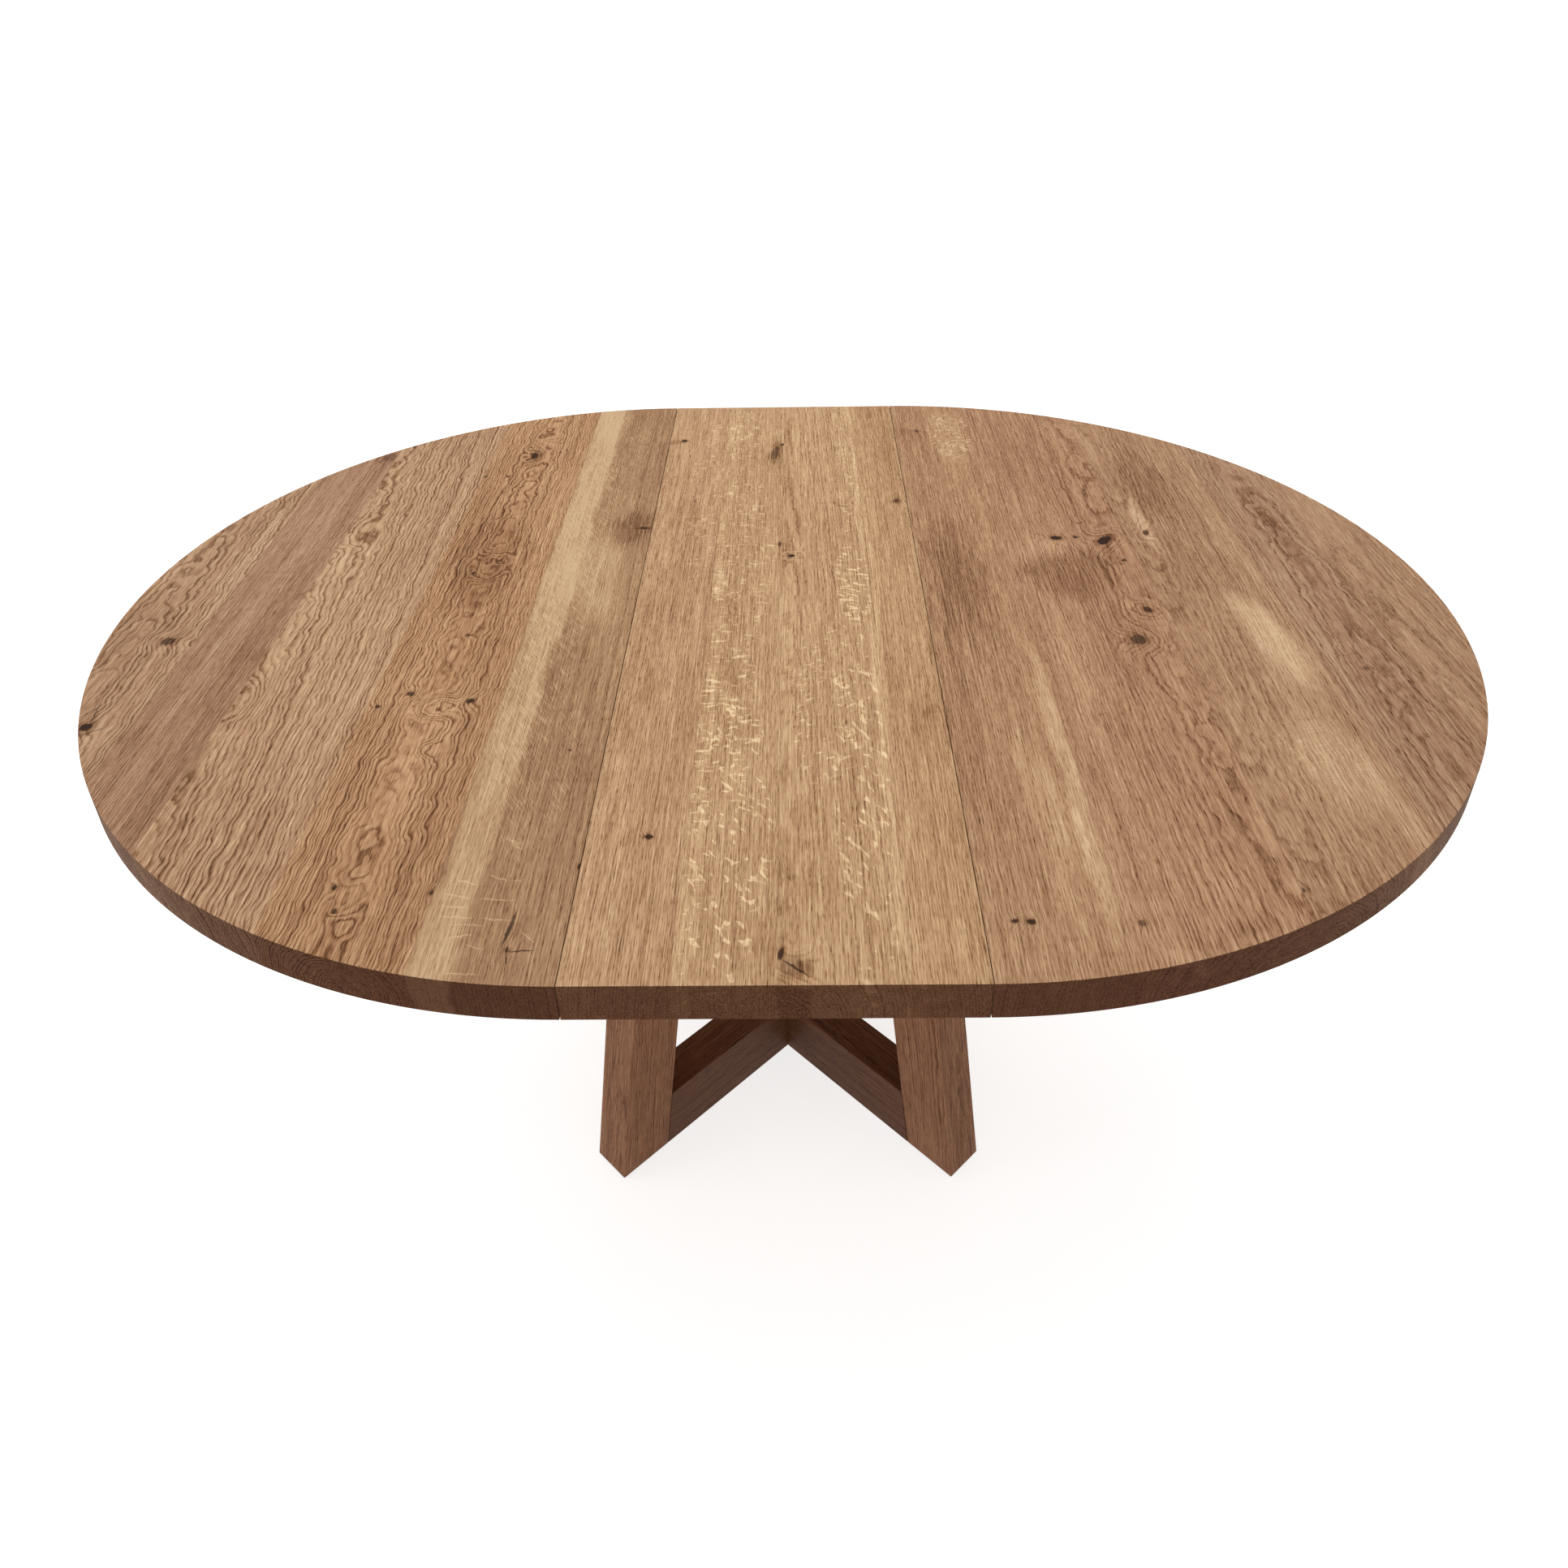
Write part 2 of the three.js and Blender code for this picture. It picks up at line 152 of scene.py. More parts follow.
class Graph:
    """Builds one material's nodes in the order they are worked out."""

    def __init__(self, material: bpy.types.Material) -> None:
        """Clears the material's nodes and adds its coordinates.

        Args:
            material: The material to build.
        """
        material.use_nodes = True
        self.tree = material.node_tree
        self.tree.nodes.clear()
        coordinates = self.tree.nodes.new("ShaderNodeTexCoord")
        self.facing = self.wire(coordinates, FACING)
        self.room = self.wire(coordinates, ROOM)

    def node(self, kind: str, inputs: dict | None = None, **settings: object) -> bpy.types.Node:
        """Adds a node.

        Args:
            kind: Blender's name of the node type.
            inputs: What goes into its sockets, by name or number.
            **settings: Its properties.

        Returns:
            The new node.
        """
        made = self.tree.nodes.new(kind)
        for name, value in settings.items():
            setattr(made, name, value)
        for key, value in (inputs or {}).items():
            self.feed(made.inputs[key], value)
        return made

    def feed(self, socket: bpy.types.NodeSocket, value: Operand) -> None:
        """Links a wire to a socket, or sets the socket's own value.

        Args:
            socket: The input socket.
            value: A wire, number or tuple.
        """
        if isinstance(value, Wire):
            self.tree.links.new(value.socket, socket)
        else:
            socket.default_value = value

    def wire(self, node: bpy.types.Node, output: int = 0) -> Wire:
        """Takes one output of a node."""
        return Wire(self, node.outputs[output])

    def math(self, operation: str, *values: Operand) -> Wire:
        """Adds a maths node on plain numbers."""
        return self.wire(self.node("ShaderNodeMath", dict(enumerate(values)), operation=operation))

    def vector(self, operation: str, *values: Operand) -> Wire:
        """Adds a maths node on vectors."""
        output = LENGTH_OUTPUT if operation in ("LENGTH", "DOT_PRODUCT") else 0
        made = self.node("ShaderNodeVectorMath", dict(enumerate(values)), operation=operation)
        return self.wire(made, output)

    def parts(self, place: Wire) -> tuple[Wire, Wire, Wire]:
        """Splits a vector into its three numbers."""
        split = self.node("ShaderNodeSeparateXYZ", {0: place})
        return self.wire(split, 0), self.wire(split, 1), self.wire(split, 2)

    def seat(self, place: Wire, centre: Triple, turn: Triple, size: Triple) -> Wire:
        """Moves the pattern's own frame to a place, turned and sized.

        Args:
            place: The coordinates to read.
            centre: Where the frame's origin lies.
            turn: Its Euler angles in radians.
            size: Its unit along each axis.

        Returns:
            The coordinates in that frame.
        """
        inputs = {"Vector": place, "Location": centre, "Rotation": turn, "Scale": size}
        return self.wire(self.node("ShaderNodeMapping", inputs, vector_type="TEXTURE"))

    def step(self, value: Wire, start: float, end: float, low: float = 0.0, high: float = 1.0) -> Wire:
        """Eases from low to high as the value goes from start to end.

        Args:
            value: What is read.
            start: Where the change begins.
            end: Where it is complete; it may be below start.
            low: The result at start.
            high: The result at end.

        Returns:
            The eased value.
        """
        inputs = {0: value, 1: start, 2: end, 3: low, 4: high}
        return self.wire(self.node("ShaderNodeMapRange", inputs, interpolation_type="SMOOTHSTEP"))

    def noise(self, place: Wire, size: Triple, detail: float = 1.0, swirl: float = 0.0,
              output: int = 0) -> Wire:
        """Adds cloud noise.

        Args:
            place: The coordinates to read.
            size: Size of one cloud along each axis, in the coordinates' unit.
            detail: Number of finer layers.
            swirl: How far it is twisted.
            output: 0 for a number, 1 for three numbers.

        Returns:
            Noise about one half.
        """
        scaled = self.vector("MULTIPLY", place, tuple(1 / length for length in size))
        inputs = {"Vector": scaled, "Scale": 1.0, "Detail": detail,
                  "Roughness": 0.55, "Distortion": swirl}
        return self.wire(self.node("ShaderNodeTexNoise", inputs), output)

    def ramp(self, value: Wire, stops: Iterable[tuple[float, tuple]], easing: str = "LINEAR") -> Wire:
        """Adds a colour ramp.

        Args:
            value: What is read.
            stops: Pairs of position and colour.
            easing: How it passes from stop to stop.

        Returns:
            The colour.
        """
        made = self.node("ShaderNodeValToRGB", {0: value})
        made.color_ramp.interpolation = easing
        elements = made.color_ramp.elements
        for index, (position, colour) in enumerate(stops):
            element = elements[index] if index < 2 else elements.new(position)
            element.position = position
            element.color = colour
        return self.wire(made)

    def blend(self, share: Operand, under: Operand, over: Operand) -> Wire:
        """Lays one colour over another.

        Args:
            share: How much of the upper one shows.
            under: The lower colour.
            over: The upper colour.

        Returns:
            The mixed colour.
        """
        made = self.node("ShaderNodeMix", {0: share, 6: under, 7: over}, data_type="RGBA")
        return self.wire(made, COLOUR_OUTPUT)

    def bump(self, height: Wire, depth: float, strength: float = 1.0) -> Wire:
        """Turns a height into a bent normal.

        Args:
            height: Height from 0 to 1.
            depth: What a height of 1 means, in metres.
            strength: How much of it shows.

        Returns:
            The normal.
        """
        inputs = {"Height": height, "Distance": depth, "Strength": strength}
        return self.wire(self.node("ShaderNodeBump", inputs))

    def close(self, **inputs: Operand) -> None:
        """Ends the graph in a principled shader.

        Args:
            **inputs: The shader's inputs, with _ for a space.
        """
        named = {name.replace("_", " "): value for name, value in inputs.items()}
        shader = self.node("ShaderNodeBsdfPrincipled", named)
        self.node("ShaderNodeOutputMaterial", {"Surface": self.wire(shader)})


# ------------------------------------------------------------------------------------ oak


@dataclass(frozen=True)
class Seat:
    """Where a piece's grain lies: its origin, and the ways that count as across and along."""

    origin: Triple = (0.0, 0.0, 0.0)
    across: Triple = (1.0, 0.0, 0.0)
    along: Triple = (0.0, 1.0, 0.0)

    def turn(self) -> Triple:
        """The Euler angles that carry the room's axes onto the grain's."""
        along = Vector(self.along).normalized()
        across = Vector(self.across)
        across = (across - along * across.dot(along)).normalized()
        axes = Matrix((across, along, across.cross(along))).transposed()
        return tuple(axes.to_euler("XYZ"))


@dataclass(frozen=True)
class Knot:
    """A knot in a board's face, in millimetres. A pale one only bends the grain."""

    x: float
    y: float
    radius: float
    darkness: float = 1.0
    stretch: float = 1.25
    tilt: float = 0.0
    lift: float = 1.0
    reach: float = 3.4


@dataclass(frozen=True)
class Patch:
    """A lighter or darker part of a board: sapwood, a stain or a shadow in the figure.

    Places and sizes are in millimetres; tone is how much lighter it is, or darker below nought.
    """

    x: float
    y: float
    half_width: float
    half_length: float
    tone: float
    tilt: float = 0.0
    core: float = 0.55


@dataclass(frozen=True)
class Line:
    """A fine line in a board's face, in millimetres: a dark split, or one bright silver ray."""

    x: float
    y: float
    half_length: float
    tilt: float = 0.0
    width: float = 0.8


@dataclass(frozen=True)
class Flecks:
    """A zone where the silver rays show.

    across and along are the size of one ray, in millimetres, and slant turns the rays in degrees.
    """

    x: float
    y: float
    half_width: float
    half_length: float
    across: float
    along: float
    slant: float = 0.0
    kind: FleckKind = FleckKind.CURLS
    strength: float = 1.0
    cover: float = 0.5


@dataclass(frozen=True)
class Cut:
    """How a board was sawn from the log.

    pith_x and pith_depth place the heart of the log from the board's own origin; ring is the yearly
    growth; taper leans the rings along the board and makes the arches; sway and ripple bend them;
    line is how dark they are, and seed sets one board's clouds apart from another's.
    """

    pith_x: float
    pith_depth: float
    ring: float = 4.0
    taper: float = 0.02
    sway: float = 10.0
    ripple: float = 2.5
    line: float = 0.2
    seed: float = 0.0


@dataclass(frozen=True)
class Texture:
    """One kind of fine mark in wood: its size across, along and deep in millimetres, and its strength."""

    size: Triple
    strength: float


# What every board's wood is made of. The depths are shares of RELIEF, which is in metres.
CLOUDS = (150, 520, 150)
RAGGED = Texture((7, 12, 9), 4.4)
RAGGED_ALONG = 6.0
WAVES = Texture((30, 85, 30), 2.0)
BENDS = Texture((36, 30, 36), 1.7)
FRAY = Texture((5, 30, 5), 0.7)
DASHES = Texture((0.95, 22, 0.95), 0.64)
STREAKS = Texture((2.1, 75, 2.1), 0.68)
STRIPES = Texture((10, 300, 10), 0.32)
PORES = Texture((0.8, 9, 0.8), -0.2)
PORE_DEPTH = -0.5
RING_DEPTH = -0.22
HEART_DEPTH = -1.6
HEART_EDGE = (1.08, 0.7)
HALO_EDGE = (2.1, 0.8)
HALO_TONE = -0.16
RAY_TONE = 0.27
RELIEF = 0.00022
END_ROUGHNESS = 0.45
PORE_ROUGHNESS = 0.1
HEART_ROUGHNESS = 0.2

PALETTE = (
    (0.0, shade(80, 44, 18)),
    (0.25, shade(130, 88, 54)),
    (0.5, shade(176, 134, 101)),
    (0.75, shade(210, 171, 135)),
    (1.0, shade(238, 207, 170)),
)
PALETTE_MIDDLE = (176, 134, 101)
RING_PROFILE = (
    (0.0, (1.0, 1.0, 1.0, 1.0)),
    (0.12, (0.85, 0.85, 0.85, 1.0)),
    (0.34, (0.25, 0.25, 0.25, 1.0)),
    (0.7, (0.0, 0.0, 0.0, 1.0)),
    (0.92, (0.2, 0.2, 0.2, 1.0)),
    (1.0, (1.0, 1.0, 1.0, 1.0)),
)
OIL = (0.835, 0.78, 0.715)
KNOT_HEART = shade(50, 31, 20)
END_GRAIN = (0.285, 0.2, 0.18)


@dataclass(frozen=True)
class Oak:
    """Oiled oak whose rings, pores, rays and knots run through the whole piece.

    mottle is the strength of its slow clouds and gloss the shine of the oil. The upright-face share
    darkens upright faces with the end-grain tone: painted shade for the edge of a round top lit less from
    above; only its end-grain parts are truly darker.
    """

    name: str
    tone: Triple
    cut: Cut
    seat: Seat = Seat()
    knots: tuple[Knot, ...] = ()
    patches: tuple[Patch, ...] = ()
    cracks: tuple[Line, ...] = ()
    flecks: tuple[Flecks, ...] = ()
    rays: tuple[Line, ...] = ()
    roughness: float = 0.5
    mottle: float = 0.3
    gloss: float = 0.13
    painted_upright_shade: float = 0.0

    def material(self) -> bpy.types.Material:
        """Builds the finish.

        Returns:
            The material.
        """
        made = bpy.data.materials.new(self.name)
        graph = Graph(made)
        place = graph.seat(graph.room, self.seat.origin, self.seat.turn(), (MM, MM, MM))
        moved = graph.vector("ADD", place, (self.cut.seed,) * 3)
        broad = graph.noise(moved, CLOUDS, 2.0, output=1)
        ragged = graph.noise(place, RAGGED.size, 2.0, output=1)
        ragged = self._shifted(graph, ragged, (RAGGED.strength, RAGGED_ALONG, RAGGED.strength), place)
        lift, heart, halo = self._knots(graph, ragged)
        rings = self._rings(graph, place, broad, lift)
        pores = self._pores(graph, place, rings)
        marks = self._splits(graph, ragged, self.rays, self._flecks(graph, place))
        tone = self._tone(graph, place, broad, rings, pores, marks, halo)
        heart = graph.math("MAXIMUM", self._splits(graph, ragged, self.cracks, heart), 0.0)
        colour = graph.ramp(tone, PALETTE)
        tint = tuple(oil * light_of(a) / light_of(b) for oil, a, b in zip(OIL, self.tone, PALETTE_MIDDLE))
        colour = graph.vector("MULTIPLY", colour, tint)
        # End-grain tone on end grain; on the other upright faces the same darkening is painted shade.
        end = self._end_grain_and_painted_shade(graph)
        colour = graph.blend(end, colour, graph.vector("MULTIPLY", colour, END_GRAIN))
        colour = graph.blend(heart, colour, KNOT_HEART)
        rough = end.times_plus(END_ROUGHNESS, self.roughness)
        rough = pores.times_plus(PORE_ROUGHNESS, rough)
        rough = heart.times_plus(HEART_ROUGHNESS, rough)
        height = rings.times_plus(RING_DEPTH, 1.0)
        height = pores.times_plus(PORE_DEPTH, height)
        height = heart.times_plus(HEART_DEPTH, height)
        normal = graph.bump(height, RELIEF, 0.75)
        graph.close(Base_Color=colour, Roughness=rough, Normal=normal, Specular_IOR_Level=self.gloss)
        return made

    def _shifted(self, graph: Graph, cloud: Wire, reach: Triple, place: Wire) -> Wire:
        """Pushes coordinates about by a cloud.

        Args:
            graph: The material's graph.
            cloud: Three noises about one half.
            reach: How far they push from end to end, in millimetres.
            place: The coordinates.

        Returns:
            The pushed coordinates.
        """
        pushed = graph.vector("MULTIPLY_ADD", cloud, reach, place)
        return graph.vector("SUBTRACT", pushed, tuple(length / 2 for length in reach))

    def _end_grain_and_painted_shade(self, graph: Graph) -> Wire:
        """Tells the faces that cut across the grain from those along it.

        Args:
            graph: The material's graph.

        Returns:
            1 on end grain, the upright-face share of painted shade on other upright faces of a board, 0
            elsewhere.
        """
        along = tuple(Vector(self.seat.along).normalized())
        facing = graph.vector("DOT_PRODUCT", graph.facing, along)
        end = graph.step(graph.math("ABSOLUTE", facing), 0.35, 1.0)
        _, _, upward = graph.parts(graph.facing)
        # Painted shade: upright faces of a top board darkened as if lit less from above.
        upright = graph.step(graph.math("ABSOLUTE", upward), 0.5, 0.1, 0.0, self.painted_upright_shade)
        return graph.math("MAXIMUM", upright, end)

    def _knots(self, graph: Graph, place: Wire) -> tuple[Operand, Operand, Operand]:
        """Works out how knots bend the rings, and where they are dark.

        Args:
            graph: The material's graph.
            place: Slightly ragged coordinates in millimetres.

        Returns:
            The lift of the rings, the black heart, and the brown halo.
        """
        lift: Operand = 0.0
        heart: Operand = 0.0
        halo: Operand = 0.0
        for knot in self.knots:
            size = (knot.radius, knot.radius * knot.stretch, knot.radius * 9)
            local = graph.seat(place, (knot.x, knot.y, 0.0), (0.0, 0.0, math.radians(knot.tilt)), size)
            away = graph.vector("LENGTH", local)
            near = graph.step(away, knot.reach, 0.4)
            lift = near.times_plus(knot.lift * knot.radius, lift)
            if knot.darkness > 0:
                heart = graph.math("MAXIMUM", graph.step(away, *HEART_EDGE, 0.0, knot.darkness), heart)
                brown = graph.step(away, *HALO_EDGE, 0.0, min(1.0, 0.4 + knot.darkness))
                halo = graph.math("MAXIMUM", brown, halo)
        return lift, heart, halo

    def _splits(self, graph: Graph, place: Wire, lines: tuple[Line, ...], under: Operand) -> Operand:
        """Draws short fine lines over a mask.

        Args:
            graph: The material's graph.
            place: Slightly ragged coordinates in millimetres.
            lines: The lines.
            under: The mask so far.

        Returns:
            The mask with the lines.
        """
        for line in lines:
            size = (line.width, line.half_length, 60.0)
            local = graph.seat(place, (line.x, line.y, 0.0), (0.0, 0.0, math.radians(line.tilt)), size)
            drawn = graph.step(graph.vector("LENGTH", local), 1.0, 0.5, 0.0, 0.85)
            under = graph.math("MAXIMUM", drawn, under)
        return under

    def _rings(self, graph: Graph, place: Wire, broad: Wire, lift: Operand) -> Wire:
        """Works out the dark line that each year's early wood leaves.

        Args:
            graph: The material's graph.
            place: Coordinates in millimetres.
            broad: Three slow noises.
            lift: How far knots push the rings.

        Returns:
            1 on a dark line, 0 in late wood.
        """
        cut = self.cut
        sway = graph.vector("MULTIPLY_ADD", broad, (2 * cut.sway, 0.0, 2 * cut.sway), place)
        centre = (cut.pith_x + cut.sway, 0.0, -cut.pith_depth + cut.sway)
        away = graph.vector("SUBTRACT", sway, centre)
        along = graph.vector("MULTIPLY", away, (0.0, 1.0, 0.0))
        radius = graph.vector("LENGTH", graph.vector("SUBTRACT", away, along))
        _, distance, _ = graph.parts(place)
        radius = distance.times_plus(cut.taper, radius)
        wave = graph.noise(graph.vector("ADD", place, (0.0, cut.seed * 3, 50.0)), WAVES.size, 2.0)
        radius = wave.times_plus(WAVES.strength * cut.ripple, radius)
        bend = graph.noise(place, BENDS.size, 1.0)
        radius = bend.times_plus(BENDS.strength * cut.ripple, radius)
        fray = graph.noise(place, FRAY.size, 1.0)
        radius = fray.times_plus(FRAY.strength * cut.ring, radius)
        radius = graph.math("ADD", radius, lift)
        years = radius * (1 / cut.ring)
        slow = graph.node("ShaderNodeTexNoise", {"W": years * 0.37, "Scale": 1.0, "Detail": 1.0},
                          noise_dimensions="1D")
        years = graph.wire(slow).times_plus(1.3, years)
        strength = graph.step(graph.wire(slow, 0), 0.3, 0.7, 0.55, 1.25)
        line = graph.ramp(graph.math("FRACT", years), RING_PROFILE)
        return line * strength

    def _pores(self, graph: Graph, place: Wire, rings: Wire) -> Wire:
        """Works out the open pores, thickest in the early wood.

        Args:
            graph: The material's graph.
            place: Coordinates in millimetres.
            rings: The dark lines.

        Returns:
            1 in a pore.
        """
        dash = graph.noise(place, PORES.size, 1.0)
        return graph.step(dash, 0.47, 0.66) * rings.times_plus(0.85, 0.42)

    def _flecks(self, graph: Graph, place: Wire) -> Operand:
        """Works out the silver rays.

        Args:
            graph: The material's graph.
            place: Coordinates in millimetres.

        Returns:
            1 on a ray, or 0 where the piece has none.
        """
        marks: Operand = 0.0
        for zone in self.flecks:
            window = graph.seat(place, (zone.x, zone.y, 0.0), (0.0, 0.0, 0.0),
                                (zone.half_width, zone.half_length, 1000.0))
            inside = graph.step(graph.vector("LENGTH", window), 1.0, 0.72, 0.0, zone.strength)
            turned = graph.seat(place, (self.cut.seed, 0.0, 0.0), (0.0, 0.0, math.radians(zone.slant)),
                                (1.0, 1.0, 1.0))
            size = (zone.across, zone.along, zone.across)
            if zone.kind is FleckKind.STROKES:
                mark = graph.step(graph.noise(turned, size, 1.0, 0.2), 1 - zone.cover, 1.1 - zone.cover)
            else:
                dash = graph.noise(turned, size, 0.0, 0.6)
                crowd = graph.noise(turned, (24, 60, 24), 0.0)
                dash = crowd.times_plus(0.22, dash)
                mark = graph.step(dash, 1.13 - zone.cover, 1.17 - zone.cover)
                bend = graph.noise(turned, (2.2 * zone.across, 4 * zone.along, 20), 0.0, 0.9)
                curl = graph.step(graph.math("ABSOLUTE", bend - 0.5), 0.035, 0.015)
                mark = (curl * graph.step(crowd, 0.5, 0.6, 0.0, 0.55)) + mark
            marks = (mark * inside) + marks
        return marks

    def _tone(self, graph: Graph, place: Wire, broad: Wire, rings: Wire, pores: Wire,
              marks: Operand, halo: Operand) -> Wire:
        """Adds up everything that makes the wood lighter or darker.

        Args:
            graph: The material's graph.
            place: Coordinates in millimetres.
            broad: Three slow noises.
            rings: The dark lines.
            pores: The pores.
            marks: The silver rays.
            halo: The brown round knots.

        Returns:
            A tone about one half.
        """
        _, slow, patchy = graph.parts(broad)
        tone = patchy.times_plus(self.mottle, 0.5 - self.mottle / 2)
        dash = graph.noise(place, DASHES.size, 1.0)
        tone = dash.times_plus(DASHES.strength, tone)
        streak = graph.noise(place, STREAKS.size, 2.0)
        tone = streak.times_plus(STREAKS.strength, tone)
        stripe = graph.noise(place, STRIPES.size, 2.0)
        middle = (DASHES.strength + STREAKS.strength + STRIPES.strength) / 2
        tone = stripe.times_plus(STRIPES.strength, tone - middle)
        depth = slow.times_plus(-0.9 * self.cut.line, -0.55 * self.cut.line)
        tone = rings.times_plus(depth, tone)
        tone = pores.times_plus(PORES.strength, tone)
        tone = tone + 0.3 * self.cut.line + 0.09
        drift = graph.noise(place, (45, 130, 45), 1.0, output=1)
        drift = self._shifted(graph, drift, (26.0, 90.0, 26.0), place)
        for patch in self.patches:
            size = (patch.half_width, patch.half_length, 300.0)
            local = graph.seat(drift, (patch.x, patch.y, 0.0), (0.0, 0.0, math.radians(patch.tilt)), size)
            away = streak.times_plus(1.1, graph.vector("LENGTH", local))
            tone = graph.step(away, 1.55, patch.core + 0.45, 0.0, patch.tone) + tone
        if isinstance(marks, Wire):
            tone = marks.times_plus(RAY_TONE, tone)
        if isinstance(halo, Wire):
            tone = halo.times_plus(HALO_TONE, tone)
        return tone


# ------------------------------------------------------------------------------------ other finishes


@dataclass(frozen=True)
class Beech:
    """Waxed beech with its short brown ray flecks, grain along the table."""

    name: str = "waxed_beech"
    pale: Triple = (205, 168, 128)
    deep: Triple = (176, 134, 95)

    def material(self) -> bpy.types.Material:
        """Builds the finish."""
        made = bpy.data.materials.new(self.name)
        graph = Graph(made)
        place = graph.vector("MULTIPLY", graph.room, TO_MM)
        grain = graph.noise(place, (160, 7, 7), 3.0, 0.4)
        fibre = graph.noise(place, (34, 0.9, 0.9), 2.0)
        fleck = graph.step(graph.noise(place, (3.4, 0.8, 0.8), 0.0), 0.66, 0.74)
        mix = grain.times_plus(0.9, fibre * 0.35)
        colour = graph.blend(graph.step(mix, 0.4, 0.85), shade(*self.pale), shade(*self.deep))
        colour = graph.blend(fleck * 0.35, colour, shade(138, 96, 64))
        rough = fibre.times_plus(0.16, 0.42)
        height = fleck.times_plus(-0.4, fibre)
        graph.close(Base_Color=colour, Roughness=rough, Normal=graph.bump(height, 0.00008, 0.6))
        return made


@dataclass(frozen=True)
class Coat:
    """A hard finish with a fine tooth: powder coat, nylon or zinc.

    speckle is the size of the tooth and cloud the size of its slow changes, in millimetres.
    """

    name: str
    base: Triple
    deep: Triple
    roughness: float
    metallic: float = 0.0
    speckle: float = 0.6
    cloud: float = 18.0
    relief: float = 0.00006
    brushed: float = 1.0

    def material(self) -> bpy.types.Material:
        """Builds the finish."""
        made = bpy.data.materials.new(self.name)
        graph = Graph(made)
        place = graph.vector("MULTIPLY", graph.room, TO_MM)
        tooth = graph.noise(place, (self.speckle * self.brushed, self.speckle, self.speckle), 2.0)
        cloud = graph.noise(place, (self.cloud,) * 3, 3.0, 0.3)
        share = graph.step(cloud.times_plus(0.7, tooth * 0.3), 0.3, 0.7)
        colour = graph.blend(share, shade(*self.base), shade(*self.deep))
        rough = cloud.times_plus(0.22, self.roughness - 0.11)
        rough = tooth.times_plus(0.08, rough)
        graph.close(Base_Color=colour, Roughness=rough, Metallic=self.metallic,
                    Normal=graph.bump(tooth, self.relief, 0.7))
        return made


@dataclass(frozen=True)
class Felt:
    """Pressed wool felt with short matted fibres."""

    name: str = "pressed_felt"

    def material(self) -> bpy.types.Material:
        """Builds the finish."""
        made = bpy.data.materials.new(self.name)
        graph = Graph(made)
        place = graph.vector("MULTIPLY", graph.room, TO_MM)
        fibre = graph.noise(place, (0.5, 1.6, 0.7), 3.0, 1.5)
        clump = graph.noise(place, (4, 4, 3), 2.0)
        colour = graph.blend(graph.step(fibre.times_plus(0.6, clump * 0.4), 0.35, 0.7),
                             shade(34, 30, 28), shade(74, 68, 63))
        graph.close(Base_Color=colour, Roughness=0.95, Sheen_Weight=0.35,
                    Normal=graph.bump(fibre, 0.0004, 0.8))
        return made


@dataclass(frozen=True)
class PaleFloor:
    """A smooth pale studio floor that gives back a little light of its own."""

    name: str = "studio_floor"
    glow: float = 0.76

    def material(self) -> bpy.types.Material:
        """Builds the finish."""
        made = bpy.data.materials.new(self.name)
        graph = Graph(made)
        haze = graph.noise(graph.room, (0.9, 0.9, 0.9), 3.0)
        colour = graph.blend(haze, shade(192, 194, 196), shade(197, 199, 201))
        graph.close(Base_Color=colour, Roughness=0.7, Specular_IOR_Level=0.1,
                    Emission_Color=(1.0, 1.0, 1.0, 1.0), Emission_Strength=self.glow)
        return made


# ------------------------------------------------------------------------------------ shaping


@dataclass(frozen=True)
class Easing:
    """How the sharp edges of a piece are broken.

    keep holds planes across the table whose edges stay square, because the next board is glued there.
    """

    radius: float = 0.6
    segments: int = 2
    bevel_from: float = 20.0
    smooth_to: float = 5.0
    keep: tuple[float, ...] = ()
    keep_within: float = 0.08


def on_kept_plane(edge: bmesh.types.BMEdge, easing: Easing) -> bool:
    """Tells whether an edge lies in a glued joint.

    Args:
        edge: The edge.
        easing: The easing, with its kept planes.

    Returns:
        True if both ends lie in one kept plane.
    """
    first, second = (vertex.co.x / MM for vertex in edge.verts)
    return any(max(abs(first - plane), abs(second - plane)) < easing.keep_within for plane in easing.keep)


def eased_copy(node: str, easing: Easing) -> bpy.types.Object:
    """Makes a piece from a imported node, with its edges broken.

    Args:
        node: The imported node.
        easing: How its edges are broken.

    Returns:
        The new piece, at the origin.
    """
    shape = bmesh.new()
    shape.from_mesh(frame["nodes"][node].data)
    bmesh.ops.remove_doubles(shape, verts=shape.verts, dist=1e-5)
    bmesh.ops.dissolve_limit(shape, angle_limit=math.radians(0.5), verts=shape.verts, edges=shape.edges)
    shape.normal_update()
    limit = math.radians(easing.bevel_from)
    sharp = [edge for edge in shape.edges
             if edge.is_manifold and edge.calc_face_angle() > limit and not on_kept_plane(edge, easing)]
    if easing.radius > 0:
        bmesh.ops.bevel(shape, geom=sharp, offset=easing.radius * MM, offset_type="OFFSET",
                        segments=easing.segments, profile=0.5, affect="EDGES", clamp_overlap=True)
    mesh = bpy.data.meshes.new(f"{node}_eased")
    shape.to_mesh(mesh)
    shape.free()
    for face in mesh.polygons:
        face.use_smooth = True
    mesh.set_sharp_from_angle(angle=math.radians(easing.smooth_to))
    piece = bpy.data.objects.new(f"{node}_eased", mesh)
    SCENE.collection.objects.link(piece)
    return piece


def dress(piece: bpy.types.Object, body: str, material: bpy.types.Material) -> None:
    """Gives a piece its finish and its place among the moving bodies.

    Args:
        piece: The piece.
        body: The body it rides on.
        material: Its finish.
    """
    piece.data.materials.clear()
    piece.data.materials.append(material)
    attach(piece, body)
    LOG.info("%s: %d faces, on %s, %s", piece.name, len(piece.data.polygons), body, material.name)


